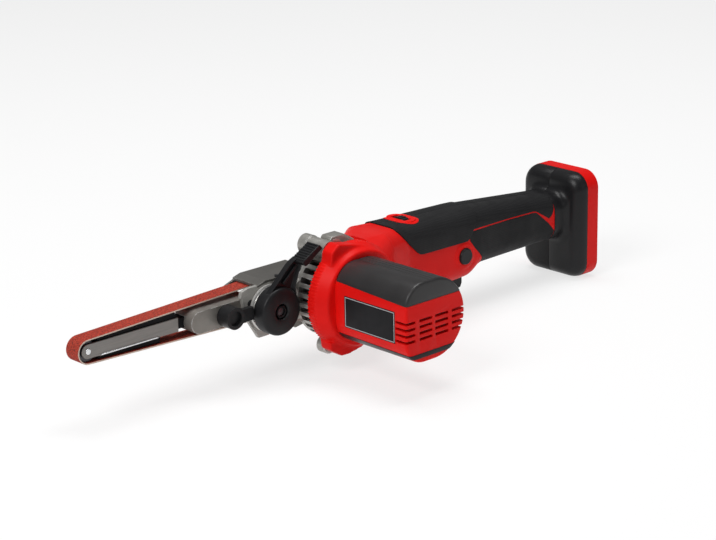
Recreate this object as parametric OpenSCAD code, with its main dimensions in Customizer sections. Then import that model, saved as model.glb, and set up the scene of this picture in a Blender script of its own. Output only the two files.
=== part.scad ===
// Cordless belt file: a narrow sanding belt runs round a long arm that swivels on the drive bracket.
// X runs along the tool (nose at -X, battery foot at +X), the motor lies along -Y, Z is up.
// The origin is where the motor axis crosses the middle plane of the belt.

/* [Belt] */
// Length of the sanding belt round its middle line
belt_length = 457; // [440:1:475]
// Width of the belt
belt_width = 13; // [11:0.5:14]
// Thickness of the belt
belt_thick = 0.9; // [0.6:0.1:1.2]
// Radius of the roller at the nose
nose_roller_r = 7.2; // [6.8:0.1:7.8]
// Radius of the driven roller over its rubber tyre
drive_roller_r = 13.5; // [13:0.1:14.2]
// Thickness of the rubber tyre
tyre_thick = 2.5; // [1.5:0.1:4]

/* [Arm] */
// Height of the steel side plates of the nose bar
bar_height = 9.6; // [8:0.2:11]
// Thickness of each side plate of the nose bar
bar_plate = 1.2; // [0.8:0.1:1.6]
// Radius of the nose axle
axle_r = 2; // [1.5:0.1:2.6]
// Length of the guide block that the nose bar slides in
block_length = 52; // [50:0.5:56]
// Height of the guide block
block_height = 15.2; // [14.6:0.2:17]
// Distance from the motor axis to the rear of the guide block
block_rear = 64.5; // [64:0.5:68]
// How far the nose bar draws back to free the belt
release_travel = 4; // [3:0.5:5]
// Thickness of the arm's side plate
arm_plate = 2.8; // [2:0.2:4]
// Radius of the arm's hub ring
ring_r = 25; // [22:0.5:27]
// Thickness of the sheet of the belt guard
guard_thick = 1.8; // [1.2:0.1:2.4]
// Width of the belt guard beyond the middle of the belt on the open side
guard_side = 10; // [9:0.5:12]
// Distance from the motor axis to the swivel clamp bolt
clamp_x = 54; // [52:0.5:55]
// Radius of the cap of the clamp lever
cap_r = 16.5; // [14:0.5:17]
// Length of the clamp lever from its bolt to the end of the thumb pad
lever_length = 50; // [44:1:56]
// Swivel of the arm, nose up, in degrees
swivel_up = 20; // [5:1:20]
// Swivel of the arm, nose down, in degrees
swivel_down = 12; // [4:1:12]

/* [Motor] */
// Radius of the motor shaft
shaft_r = 4; // [3:0.5:5]
// Outer radius of the ball bearings
bearing_r = 11; // [10:0.5:12]
// Width of the ball bearings
bearing_w = 7; // [5:0.5:7]
// Outer radius of the vented drive bracket
bracket_r = 33; // [32:0.5:34]
// Length of the vented part of the drive bracket along the motor axis
vent_length = 14; // [12:0.5:18]
// Number of cooling slots round the drive bracket
vent_count = 30; // [20:1:32]
// Outer radius of the collar that carries the motor
collar_r = 37; // [36:0.5:39]
// Length of the collar along the motor axis
collar_length = 16; // [14:0.5:20]
// Radius of the motor can
can_r = 21; // [19:0.5:22]
// Width of the motor cover
cover_w = 52; // [50:0.5:54]
// Height of the motor cover
cover_h = 55; // [53:0.5:57]
// Length of the motor cover beyond the collar
cover_length = 68; // [66:0.5:74]
// Corner radius of the motor cover
cover_corner = 17; // [16:0.5:19]

/* [Handle] */
// Distance from the motor axis to the face of the battery foot
handle_length = 254; // [248:1:272]
// Width of the grip
grip_w = 39; // [37:0.5:44]
// Height of the grip at its middle
grip_h = 43; // [41:0.5:47]
// Thickness of the soft grip skin
grip_skin = 1.8; // [1:0.1:2]
// Wall of the housing shells and the motor cover
wall = 3.4; // [3:0.1:3.8]
// Width of the battery foot
foot_w = 60; // [58:1:66]
// Height of the battery foot
foot_h = 83; // [80:1:90]
// Depth of the rim round the battery seat
rim_depth = 11.5; // [10:0.5:14]

/* [Controls] */
// Length of the trigger
trigger_length = 30; // [26:1:32]
// Width of the trigger
trigger_w = 12; // [9:0.5:14]
// Travel of the trigger
trigger_travel = 5; // [3:0.5:5]
// Radius of the lock button
button_r = 6; // [4.5:0.5:6.5]
// Travel of the lock button
button_travel = 3; // [2:0.5:4]
// Radius of the speed dial
dial_r = 11; // [10:0.5:12]
// Width of the speed dial
dial_w = 6; // [4:0.5:7]

/* [Hidden] */
$fn = 64;
hull_fn = 32;
slice_t = 0.01;
shell_fn = 32;
far = 400;
// Clearances: running fit on a radius, a free gap, a seated piece, the belt on its rollers, the mouth
run_fit = 0.05;
free_gap = 0.3;
seat_fit = 0.02;
belt_gap = 0.25;
mouth_gap = 0.15;
// Steps in each half turn of the belt
arc_steps = 32;

// Belt path: the two rollers, the straight runs between them and their slope
nose_pitch = nose_roller_r + belt_gap + belt_thick / 2;
drive_pitch = drive_roller_r + belt_gap + belt_thick / 2;
pitch_step = drive_pitch - nose_pitch;
straight_first = (belt_length - PI * (nose_pitch + drive_pitch)) / 2;
wrap_extra = 2 * pitch_step * asin(pitch_step / straight_first) * PI / 180;
straight = (belt_length - wrap_extra - PI * (nose_pitch + drive_pitch)) / 2;
span = sqrt(straight * straight + pitch_step * pitch_step);
slope = asin(pitch_step / span);
nose_x = -span;
belt_in_d = drive_roller_r + belt_gap;
belt_in_n = nose_roller_r + belt_gap;
belt_out_d = belt_in_d + belt_thick;
// Half height of the belt loop at x, for the loop that has radius r at the drive roller
function loop_half(x, r) = r / cos(slope) + x * tan(slope);

// Stack along the motor axis, from the belt towards the motor
roller_w = belt_width + 1;
roller_screw_length = 12;
arm_y1 = -roller_w / 2 - 6.2;
arm_y0 = arm_y1 - arm_plate;
ring_y0 = arm_y0 - 3.6;
lug_y1 = arm_y0 - free_gap;
front_y1 = ring_y0 - free_gap;
front_thick = 3;
vent_y1 = front_y1 - front_thick;
collar_y1 = vent_y1 - vent_length;
collar_y0 = collar_y1 - collar_length;
cover_y0 = collar_y0 - cover_length;
spigot_r = bearing_r + 6;
spigot_y1 = arm_y1 + free_gap;
retainer_t = 2.4;
bearing_y1 = spigot_y1 - 0.5;

// Swivel clamp, on a lug of the bracket; the bolt passes an arc slot in the arm
clamp_z = -2;
clamp_ring = norm([clamp_x, clamp_z]);
clamp_angle = 180 + atan(-clamp_z / clamp_x);
clamp_bolt_r = 3;
clamp_boss_r = 13.5;
nut_recess_r = 5.4;
cap_y1 = front_y1 - 0.5;
cap_thick = 11;
cap_y0 = cap_y1 - cap_thick;
lug_x = -clamp_x + cap_r + 1;
lever_angle = 42.5;
lever_pad = 17;
lever_pad_slope = 3.8;
lever_ribs = 7;
slot_half = clamp_bolt_r + free_gap;
bolt_head_r = 5.2;
bolt_head_t = 3;

// Nose bar and its guide
core_w = belt_width - 4;
block_front = -block_rear - block_length;
stop_gap = 1;
core_rear = block_front - release_travel - stop_gap;
block_y0 = arm_y1;
block_y1 = core_w / 2 + 1;
crank = release_travel / 2;
crank_pin_r = 1.5;
tongue_h = 2 * (crank + crank_pin_r);
channel_h = tongue_h + 2 * free_gap;
channel_w = core_w + 2 * free_gap;
spring_length = 16.5;
channel_end = -block_rear - 3.5;
tongue_end = channel_end - spring_length;
spring_r = 2.6;
spring_wire = 0.45;
spring_turns = 6;
platen_gap = 0.5;

// Release lever: its crank pin draws the nose bar back over half a turn
tongue_wall = 4;
crank_x = tongue_end - tongue_wall - crank_pin_r + crank;
release_shaft_r = crank + crank_pin_r + 0.2;
release_hub_r = 7.5;
release_rim = 2.4;
release_hub_y0 = block_y0 - 11;
release_bar_end = -clamp_x - cap_r - 1.6;
lever_y1 = release_hub_y0 - 2 * free_gap;
crank_slack = 0.22 * crank;

// Belt guard: a flat top that bends down to its lip
guard_z = loop_half(0, belt_out_d) + 0.4;
guard_rear_x = -15;
guard_bend_x = -clamp_x - 1;
guard_lip_x = -block_rear + 2.5;
guard_drop = 1.7;
guard_screw_x = [-24, -44];
guard_screw_r = 1.2;
block_screw_x = -block_rear - 4;
block_screw_z = 4;

// Screws that join the collar to the bracket, above and below
tie_x = -10;
tie_z = 35;
tie_r = 2;
tie_boss_r = 5.5;
tie_head_r = 3.8;
collar_taper = 4.5;
// Bore of the collar, whose flats clear the round drum
collar_bore = (bracket_r + seat_fit) / cos(180 / shell_fn);
tie_far_y = 2;
ear_y0 = collar_y1 - 11;

// Motor and cover
can_wall = 1.5;
magnet_t = 5;
magnet_length = 42;
seat_ring_y0 = collar_y1 - 4;
can_y1 = collar_y1 - 1.5;
magnet_y1 = can_y1 - 8;
armature_r = can_r - can_wall - magnet_t - 2 * free_gap;
armature_length = 38;
armature_y1 = can_y1 - 10;
armature_y0 = armature_y1 - armature_length;
armature_slot = 3.4;
commutator_r = 8;
brush_inset = 3.2;
brush_w = 5;
brush_h = 6;
end_cap_y1 = cover_y0 + 17;
end_cap_y0 = end_cap_y1 - bearing_w;
brush_y1 = end_cap_y1 + 2.5;
fan_r = bracket_r - 5;
cover_z = 1;
cover_bulge = 2;
cover_flange = 3;
cover_bevel = 3;
pad_thick = 2;
pad_y0 = cover_y0 + cover_bevel + 0.5;
pad_y1 = collar_y0 - 1;
pad_top_z = 16;
pad_bottom_z = -18;
label_y1 = collar_y0 - 9;
label_y0 = cover_y0 + 11;
label_z1 = 9.6;
label_z0 = -12;
label_thick = 0.8;
louvre_rows = 4;
louvre_pitch = 4.2;
louvre_z = -10.4;
louvre_h = 2;

// Handle: cross sections [x, y low, y high, z low, z high, corner radius, share of an inset along x]
half_grip = grip_w / 2;
grip_top = grip_h / 2 + 2;
grip_bottom = grip_top - grip_h;
neck_x = 44;
throat_x = 72;
belly_x = 140;
grip_front_x = 151;
grip_rear_x = handle_length - 40;
grip_end_x = handle_length - 16;
flare_x = handle_length - 10.5;
foot_front_x = handle_length - 6;
skirt_z = 4;
slant_z = 60;
foot_z = -10;
foot_round = 8.5;
foot_top = foot_z + foot_h / 2;
foot_bottom = foot_z - foot_h / 2;
neck = [neck_x, collar_y1 + 1, 14, -31, 31, 12, 0];
throat = [throat_x, -half_grip - 2.5, half_grip, -29, grip_top + 4, 13, 0];
belly = [belly_x, -half_grip - 0.5, half_grip + 0.5, grip_bottom - 7.5, grip_top + 1, 13, 0];
grip_front = [grip_front_x, -half_grip, half_grip, grip_bottom, grip_top, 12, 0];
grip_rear = [grip_rear_x, -half_grip + 1, half_grip - 1, grip_bottom + 0.5, grip_top - 5.5, 12, 0];
grip_end = [grip_end_x, -half_grip + 1, half_grip - 1, grip_bottom + 0.5, grip_top - 8, 12, 1];
flare = [flare_x, -foot_w / 2 + foot_round, foot_w / 2 - foot_round, foot_bottom + foot_round,
    foot_top - foot_round, 9, 1];
foot_front = [foot_front_x, -foot_w / 2 + 1.5, foot_w / 2 - 1.5, foot_bottom + 1.5, foot_top - 1.5, 12, 0.5];
foot = [handle_length, -foot_w / 2, foot_w / 2, foot_bottom, foot_top, 13, 0];

// Controls
trigger_rear = belly_x + 2;
trigger_front = trigger_rear - trigger_length;
trigger_drop = 10;
belly_bottom = belly[3];
flange_z = belly_bottom + wall + 2 * free_gap;
flange_lip = 1.5;
flange_t = 2;
button_x = 130;
button_z = -7;
button_shaft_r = 3;
button_near = -half_grip - 3.5;
button_far = half_grip + 0.5;
dial_x = 86;
dial_top = grip_top + 3.2;
dial_z = dial_top + 1.6 - dial_r;
dial_pin_r = 2;
pot_wall = 1.3;
slot_reach = 7.5;
bezel_r = dial_w / 2 + 4;
bezel_reach = 5;
switch_front = 86;
switch_rear = button_x - button_r - 2;
switch_w = 20;
switch_bottom = flange_z + flange_t + trigger_travel + 2 * free_gap;
board_t = 1.6;
switch_top = dial_z - dial_r - 2 * free_gap - board_t;
lead_r = 1.3;
lead_z = 0;

// Handle screws, put in from the far side
shell_screws = [[neck_x + 16, -20], [dial_x + 26, 16], [belly_x + 6, -12],
    [(belly_x + grip_rear_x) / 2 + 3, -9], [grip_rear_x + 8, -9], [foot_front_x + 1, foot_bottom + 15.5]];
screw_r = 1.5;
screw_head_r = 3;
screw_head_y = 9;
sunk_head_r = 2.6;
sunk_head_t = 1.5;
post_r = 4;

// Battery seat
seat_inset = 5;
seat_t = 4;
rail_y = foot_w / 2 - seat_inset - 3;
rail_w = 2.5;
rail_lip = 4;
rail_lip_t = 2.2;
bay_half = rail_y - rail_lip;
block_top = foot_top - seat_inset - 3;
block_h = 11;

// Extrudes an outline drawn in X and Z between two stations of Y
module along_y(y0, y1) {
    translate([0, y1, 0]) rotate([90, 0, 0]) linear_extrude(y1 - y0) children();
}

// Extrudes an outline drawn in Y and Z between two stations of X
module along_x(x0, x1) {
    translate([x0, 0, 0]) rotate([90, 0, 90]) linear_extrude(x1 - x0) children();
}

// Round bar along Y
module rod_y(x, z, r, y0, y1) {
    translate([x, y1, z]) rotate([90, 0, 0]) cylinder(r = r, h = y1 - y0);
}

// Round bar along X
module rod_x(y, z, r, x0, x1) {
    translate([x0, y, z]) rotate([0, 90, 0]) cylinder(r = r, h = x1 - x0);
}

// Tube along Y
module tube_y(r_out, r_in, y0, y1) {
    difference() {
        rod_y(0, 0, r_out, y0, y1);
        rod_y(0, 0, r_in, y0 - 1, y1 + 1);
    }
}

// Box from its lowest to its highest corner
module box(low, high) {
    translate(low) cube(high - low);
}

// Rectangle with round corners, centred
module round_rect(w, h, r) {
    square([w - 2 * r, h], center = true);
    square([w, h - 2 * r], center = true);
    for (i = [-1, 1], j = [-1, 1]) translate([i * (w / 2 - r), j * (h / 2 - r)]) circle(r);
}

// Points of an arc about [x, 0] between two angles
function arc_points(x, r, a0, a1) =
    [for (i = [0 : arc_steps]) let (a = a0 + (a1 - a0) * i / arc_steps) [x + r * cos(a), r * sin(a)]];

// Loop outline of radius r_d round the drive roller and r_n round the nose roller
module loop(r_d, r_n) {
    polygon(concat(arc_points(0, r_d, -90 - slope, 90 + slope),
        arc_points(nose_x, r_n, 90 + slope, 270 - slope)));
}

// Arc slot or band about the motor axis, between two angles, drawn in X and Z
module arc_band(r, half_w, a0, a1, y0, y1) {
    translate([0, y1, 0]) rotate([90, 0, 0]) rotate([0, 0, a0]) rotate_extrude(angle = a1 - a0)
        translate([r - half_w, 0]) square([2 * half_w, y1 - y0]);
    for (a = [a0, a1]) rod_y(r * cos(a), r * sin(a), half_w, y0, y1);
}

// Thin slice of a handle cross section, drawn in by an inset
module slice(s, inset) {
    r = max(s[5] - inset, 2);
    translate([s[0] + s[6] * inset - slice_t, 0, 0]) rotate([90, 0, 90]) linear_extrude(slice_t)
        for (y = [s[1] + inset + r, s[2] - inset - r], z = [s[3] + inset + r, s[4] - inset - r])
            translate([y, z]) circle(r, $fn = hull_fn);
}

// Length of handle between two cross sections
module stretch(a, b, inset) {
    hull() {
        slice(a, inset);
        slice(b, inset);
    }
}

// Neck that joins the collar to the handle
module neck_stretch(inset) {
    hull() {
        translate([0, collar_y1 - inset, 0]) rotate([90, 0, 0])
            cylinder(r1 = collar_r - 2 - inset, r2 = collar_r - collar_taper - 1.5 - inset,
                h = collar_length - 1 - 2 * inset, $fn = hull_fn);
        slice(neck, inset);
    }
}

// Whole handle from the collar to the foot, drawn in by an inset
module handle_form(inset) {
    neck_stretch(inset);
    stretch(neck, throat, inset);
    stretch(throat, belly, inset);
    stretch(belly, grip_front, inset);
    stretch(grip_front, grip_rear, inset);
    stretch(grip_rear, grip_end, inset);
    stretch(grip_end, flare, inset);
    stretch(flare, foot_front, inset);
    stretch(foot_front, foot, inset);
}

// Side outline of the front grip, between its slanting ends
module top_grip_side() {
    polygon([[throat_x - 14, slant_z], [throat_x + 12, skirt_z + 1], [belly_x - 6, skirt_z],
        [grip_front_x - 2, slant_z]]);
}

// Side outline of the rear grip and the cover of the foot
module rear_grip_side() {
    polygon([[grip_front_x - 1.5, slant_z], [belly_x - 5.2, skirt_z], [belly_x, 0],
        [grip_front_x + 1, -12], [grip_front_x + 1, -slant_z - 10], [handle_length + 1, -slant_z - 10],
        [handle_length + 1, slant_z]]);
}

// Oval opening for the dial's bezel, drawn in X and Y
module bezel_oval(grow) {
    for (j = [-1, 1]) translate([0, j * bezel_reach]) circle(bezel_r + grow);
    square([2 * (bezel_r + grow), 2 * bezel_reach], center = true);
}

// Space taken out of both shells for the pieces that pass through them
module shell_openings() {
    rod_y(0, 0, bracket_r + free_gap, collar_y1, far);
    box([-far, collar_y1, -far], [0, far, far]);
    for (j = [-1, 1]) rod_y(tie_x, j * tie_z, tie_boss_r + free_gap, collar_y1, far);
    box([-30, collar_y1, 30], [20, far, far]);
    box([trigger_front - free_gap, -trigger_w / 2 - free_gap, belly_bottom - 20],
        [trigger_rear + free_gap, trigger_w / 2 + free_gap, belly_bottom + wall + 1]);
    trigger_flange(free_gap, flange_t + trigger_travel);
    rod_y(button_x, button_z, button_r + free_gap, -far, far);
    translate([dial_x, 0, dial_top - 6]) linear_extrude(40) bezel_oval(seat_fit);
    for (s = shell_screws) rod_y(s[0], s[1], screw_head_r + free_gap, screw_head_y, far);
}

// Posts for the handle screws and ribs that hold the switch
module shell_posts() {
    intersection() {
        handle_form((grip_skin + wall) / 2);
        union() {
            for (s = shell_screws) rod_y(s[0], s[1], post_r, -foot_w / 2, foot_w / 2);
            for (x = [switch_front + 6, switch_rear - 8], j = [-1, 1])
                box([x, min(j * switch_w / 2, j * far), switch_bottom + 2],
                    [x + 2, max(j * switch_w / 2, j * far), switch_top - 4]);
        }
    }
}

// Both housing shells as one form
module housing_form() {
    difference() {
        union() {
            difference() {
                union() {
                    handle_form(grip_skin);
                    difference() {
                        handle_form(0);
                        along_y(-far, far) top_grip_side();
                        along_y(-far, far) rear_grip_side();
                    }
                }
                handle_form(wall);
            }
            shell_posts();
            collar_ring();
        }
        collar_hollow();
        shell_openings();
        for (s = shell_screws) rod_y(s[0], s[1], screw_r + seat_fit, -screw_head_y, far);
    }
}

// Collar round the motor, with an ear at the top and the bottom
module collar_ring() {
    translate([0, collar_y1, 0]) rotate([90, 0, 0]) rotate_extrude()
        polygon([[0, 0], [collar_r, 0], [collar_r, collar_length / 2],
            [collar_r - collar_taper, collar_length], [0, collar_length]]);
    for (j = [0, 1]) along_y(ear_y0, collar_y1) mirror([0, j])
        polygon([[tie_x - 7, 30.5], [tie_x - 7, 36], [tie_x - 3, 40.5], [tie_x + 9, 40.5], [tie_x + 13, 36],
            [tie_x + 13, 30.5]]);
}

// Inside of the collar: the seat of the bracket, the mouth for the motor cover and the screw holes
module collar_hollow() {
    rod_y(0, 0, collar_bore, collar_y0 + wall, collar_y1 + 1);
    along_y(collar_y0 - 1, collar_y1) cover_outline(-mouth_gap);
    for (j = [-1, 1]) rod_y(tie_x, j * tie_z, tie_r + seat_fit, ear_y0 + 2, collar_y1 + 1);
}

module near_half() {
    intersection() {
        children();
        box([-far, -far, -far], [far, 0, far]);
    }
}

module far_half() {
    intersection() {
        children();
        box([-far, 0, -far], [far, far, far]);
    }
}

module housing_near() {
    $fn = shell_fn;
    color("crimson") near_half() housing_form();
}

module housing_far() {
    $fn = shell_fn;
    color("crimson") far_half() housing_form();
}

// Soft skin over one part of the handle
module skin() {
    difference() {
        intersection() {
            handle_form(0);
            along_y(-far, far) children();
        }
        handle_form(grip_skin);
        shell_openings();
    }
}

module top_grip_near() {
    color("dimgray") near_half() skin() top_grip_side();
}

module top_grip_far() {
    color("dimgray") far_half() skin() top_grip_side();
}

module rear_grip_near() {
    color("dimgray") near_half() skin() rear_grip_side();
}

module rear_grip_far() {
    color("dimgray") far_half() skin() rear_grip_side();
}

// Outline of the foot's rim, drawn in Y and Z
module foot_outline(inset) {
    translate([0, foot_z]) round_rect(foot_w - 2 * inset, foot_h - 2 * inset, foot[5] - inset);
}

module foot_rim() {
    color("crimson") difference() {
        along_x(handle_length, handle_length + rim_depth) difference() {
            foot_outline(0);
            foot_outline(seat_inset);
        }
        box([handle_length + seat_t, -bay_half, foot_bottom - 1],
            [handle_length + rim_depth + 1, bay_half, foot_bottom + seat_inset + 1]);
    }
}

// Plate inside the rim with two rails that the battery slides on
module battery_seat() {
    seat_x1 = handle_length + seat_t;
    rim_x1 = handle_length + rim_depth;
    color("black") {
        along_x(handle_length + seat_fit, seat_x1) foot_outline(seat_inset + seat_fit);
        for (j = [-1, 1]) {
            along_x(seat_x1, rim_x1) translate([j * rail_y, foot_z - 6])
                square([rail_w, foot_h - 36], center = true);
            along_x(rim_x1 - rail_lip_t, rim_x1) translate([j * (rail_y - rail_lip / 2), foot_z - 6])
                square([rail_lip, foot_h - 36], center = true);
        }
    }
}

module terminal_block() {
    seat_x1 = handle_length + seat_t;
    color("black") difference() {
        box([seat_x1, -12, block_top - block_h], [seat_x1 + 5.5, 12, block_top]);
        terminal_blades(seat_fit);
    }
}

// Contact blades that reach down into the battery
module terminal_blades(grow) {
    for (j = [-1, 0, 1]) translate([handle_length + seat_t + 2.5, j * 7, block_top - block_h - 1.5])
        cube([2.4 + 2 * grow, 0.8 + 2 * grow, 13 + 2 * grow], center = true);
}

module terminals() {
    color("goldenrod") terminal_blades(0);
}

module shell_screws() {
    color("silver") for (s = shell_screws) {
        rod_y(s[0], s[1], screw_r, -screw_head_y + 1, screw_head_y);
        difference() {
            rod_y(s[0], s[1], screw_head_r, screw_head_y, screw_head_y + 2.4);
            translate([s[0], screw_head_y + 2.4, s[1]]) for (a = [0, 90]) rotate([0, a, 0])
                cube([3.6, 2.4, 0.9], center = true);
        }
    }
}

// Outline of the motor cover, drawn in X and Z: flat with round corners at -X, a half round at +X
module cover_outline(inset) {
    r = cover_corner - inset;
    half_h = cover_h / 2 - inset;
    x0 = -cover_w / 2 + inset;
    x1 = cover_w / 2 + cover_bulge - cover_h / 2;
    translate([0, cover_z]) {
        translate([x1, 0]) circle(half_h);
        translate([x0 + r, -half_h]) square([x1 - x0 - r, 2 * half_h]);
        translate([x0, r - half_h]) square([x1 - x0, 2 * (half_h - r)]);
        for (j = [-1, 1]) translate([x0 + r, j * (half_h - r)]) circle(r);
    }
}

// Ring of the cover's outline that a pad fills, above or below a height
module pad_ring(z_low, z_high) {
    intersection() {
        difference() {
            cover_outline(0);
            cover_outline(pad_thick);
        }
        translate([-cover_w, z_low]) square([2 * cover_w, z_high - z_low]);
    }
}

module motor_cover() {
    color("crimson") difference() {
        union() {
            along_y(cover_y0 + cover_bevel, collar_y1 - 8) cover_outline(0);
            hull() {
                along_y(cover_y0 + cover_bevel, cover_y0 + cover_bevel + slice_t) cover_outline(0);
                along_y(cover_y0, cover_y0 + slice_t) cover_outline(0.8 * cover_bevel);
            }
            rod_y(0, 0, bracket_r, collar_y0 + wall + seat_fit, collar_y0 + wall + cover_flange);
        }
        along_y(cover_y0 + wall, collar_y1) cover_outline(wall);
        along_y(pad_y0, pad_y1) pad_ring(pad_top_z, far);
        along_y(pad_y0, pad_y1) pad_ring(-far, pad_bottom_z);
        box([-far, label_y0, label_z0], [-cover_w / 2 + label_thick, label_y1, label_z1]);
        for (k = [0 : louvre_rows - 1], i = [-1, 1])
            box([i * 7 - 6, cover_y0 - 1, louvre_z + k * louvre_pitch],
                [i * 7 + 6, cover_y0 + wall + 1, louvre_z + louvre_h + k * louvre_pitch]);
    }
}

module cover_top_pad() {
    color("dimgray") along_y(pad_y0, pad_y1) pad_ring(pad_top_z, far);
}

module cover_bottom_pad() {
    color("dimgray") along_y(pad_y0, pad_y1) pad_ring(-far, pad_bottom_z);
}

module label_plate() {
    color("black") box([-cover_w / 2, label_y0, label_z0], [-cover_w / 2 + label_thick, label_y1, label_z1]);
}

// Die-cast bracket: vented drum, front plate, spigot for the arm, clamp lug and screw bosses
module drive_bracket() {
    slot_angle = 360 / vent_count;
    color("lightgray") difference() {
        union() {
            rod_y(0, 0, bracket_r, collar_y1 - 4, front_y1);
            rod_y(0, 0, spigot_r, front_y1 - 1, spigot_y1);
            for (j = [-1, 1]) rod_y(tie_x, j * tie_z, tie_boss_r, collar_y1, tie_far_y);
            for (j = [-1, 1]) box([tie_x - 4, collar_y1, min(j * 29, j * tie_z)],
                [tie_x + 4, front_y1, max(j * 29, j * tie_z)]);
            box([-4, vent_y1 - 8, 26], [15, front_y1, bracket_r + 7]);
            rod_y(-clamp_x, clamp_z, clamp_boss_r, front_y1 - 0.2, lug_y1);
            along_y(front_y1 - front_thick, lug_y1) difference() {
                polygon([[-24, 17], [-24, -19], [lug_x, clamp_z - 12], [lug_x, clamp_z + 12]]);
                circle(ring_r + free_gap);
            }
            along_y(front_y1 - 0.2, lug_y1)
                polygon([[lug_x + 3, clamp_z + 11.5], [lug_x + 3, clamp_z - 11.5],
                    [-clamp_x, clamp_z - 13], [-clamp_x, clamp_z + 13]]);
        }
        rod_y(0, 0, bracket_r - 4, collar_y1 - 1, vent_y1);
        rod_y(0, 0, can_r + seat_fit, collar_y1 - 5, collar_y1);
        rod_y(0, 0, bearing_r + seat_fit, bearing_y1 - bearing_w, spigot_y1 + 1);
        rod_y(0, 0, shaft_r + 2, vent_y1 - 1, front_y1 + 1);
        rod_y(-clamp_x, clamp_z, clamp_bolt_r + seat_fit, front_y1 - 1, lug_y1 + 1);
        for (j = [-1, 1]) rod_y(tie_x, j * tie_z, tie_r + seat_fit, collar_y1 - 1, tie_far_y + 1);
        for (k = [0 : 2]) rotate([0, 120 * k, 0])
            rod_y(spigot_r - 3, 0, screw_r + seat_fit, spigot_y1 - 6, spigot_y1 + 1);
        for (k = [0 : vent_count - 1]) rotate([0, slot_angle * k, 0])
            box([bracket_r - 5, collar_y1 + 2.5, -1.3], [bracket_r + 1, vent_y1 - 1.5, 1.3]);
    }
}

// Steel disc that keeps the bearing and the arm's hub on the spigot
module bearing_retainer() {
    color("silver") difference() {
        rod_y(0, 0, spigot_r + 3, spigot_y1, spigot_y1 + retainer_t);
        rod_y(0, 0, shaft_r + 3, spigot_y1 - 1, spigot_y1 + retainer_t + 1);
        for (k = [0 : 2]) rotate([0, 120 * k, 0])
            rod_y(spigot_r - 3, 0, screw_r + seat_fit, spigot_y1 - 1, spigot_y1 + retainer_t + 1);
    }
}

module retainer_screws() {
    color("dimgray") for (k = [0 : 2]) rotate([0, 120 * k, 0]) {
        rod_y(spigot_r - 3, 0, screw_r, spigot_y1 - 5.5, spigot_y1 + retainer_t);
        rod_y(spigot_r - 3, 0, 2.8, spigot_y1 + retainer_t, spigot_y1 + retainer_t + 1.6);
    }
}

module tie_screws() {
    color("dimgray") for (j = [-1, 1]) {
        rod_y(tie_x, j * tie_z, tie_r, ear_y0 + 2.5, tie_far_y);
        difference() {
            rod_y(tie_x, j * tie_z, tie_head_r, tie_far_y, tie_far_y + 3.5);
            translate([tie_x, tie_far_y + 4.5, j * tie_z]) rotate([90, 0, 0]) cylinder(r = 1.7, h = 3, $fn = 6);
        }
    }
}

module motor_can() {
    color("silver") difference() {
        rod_y(0, 0, can_r, end_cap_y1, can_y1);
        rod_y(0, 0, can_r - can_wall, end_cap_y1 - 1, can_y1 - 2);
        rod_y(0, 0, shaft_r + 2, end_cap_y1 - 1, can_y1 + 1);
    }
}

module motor_magnets() {
    inner = can_r - can_wall - magnet_t;
    color("dimgray") for (a = [-62, 118]) translate([0, magnet_y1, 0]) rotate([90, 0, 0]) rotate([0, 0, a])
        rotate_extrude(angle = 124) translate([inner, 0]) square([magnet_t - seat_fit, magnet_length]);
}

module brush_plate() {
    color("peru") difference() {
        rod_y(0, 0, can_r - can_wall - seat_fit, end_cap_y1, brush_y1);
        rod_y(0, 0, commutator_r + 1, end_cap_y1 - 1, brush_y1 + 1);
    }
}

module carbon_brushes() {
    inner = commutator_r + free_gap;
    outer = can_r - can_wall - brush_inset;
    color("black") for (i = [-1, 1]) translate([i * (inner + outer) / 2, brush_y1 + brush_h / 2, 0])
        cube([outer - inner, brush_h, brush_w], center = true);
}

module motor_end_cap() {
    color("black") difference() {
        rod_y(0, 0, can_r, end_cap_y0 - 2, end_cap_y1);
        rod_y(0, 0, bearing_r + seat_fit, end_cap_y0, end_cap_y1 + 1);
    }
}

// Ball bearing with its races and shields as one ring
module bearing(y0) {
    difference() {
        rod_y(0, 0, bearing_r, y0, y0 + bearing_w);
        rod_y(0, 0, shaft_r + run_fit, y0 - 1, y0 + bearing_w + 1);
        for (y = [y0 - 0.4, y0 + bearing_w - 0.4]) tube_y(bearing_r - 1.5, shaft_r + 1.5, y, y + 0.8);
    }
}

module front_bearing() {
    color("silver") bearing(bearing_y1 - bearing_w);
}

module rear_bearing() {
    color("silver") bearing(end_cap_y0);
}

module switch_body() {
    color("black") box([switch_front, -switch_w / 2, switch_bottom], [switch_rear, switch_w / 2, switch_top]);
}

module control_board() {
    color("darkgreen") box([60, -12, switch_top], [switch_front + 22, 12, switch_top + board_t]);
}

module speed_pot() {
    color("navy") difference() {
        box([dial_x + dial_w / 2 + free_gap, -6, switch_top + board_t],
            [dial_x + 14, 6, dial_z + dial_pin_r + pot_wall]);
        rod_x(0, dial_z, dial_pin_r + run_fit, dial_x, dial_x + 11);
    }
}

module dial_bezel() {
    color("crimson") difference() {
        translate([dial_x, 0, dial_top - 5.5]) linear_extrude(6.1) bezel_oval(0);
        rod_x(0, dial_z, dial_r + free_gap, dial_x - dial_w / 2 - free_gap, dial_x + dial_w / 2 + free_gap);
        box([dial_x - dial_w / 2 - free_gap, -slot_reach, dial_z],
            [dial_x + dial_w / 2 + free_gap, slot_reach, dial_top + 10]);
    }
}

module power_leads() {
    color("red") for (j = [-1, 1]) rod_x(j * 6.5, lead_z, lead_r, switch_rear, handle_length + seat_fit);
}

module motor_shaft() {
    color("silver") difference() {
        rod_y(0, 0, shaft_r, end_cap_y0 + 0.5, roller_w / 2);
        rod_y(0, 0, screw_r + seat_fit, roller_w / 2 - roller_screw_length - 1, roller_w / 2 + 1);
    }
}

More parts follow.
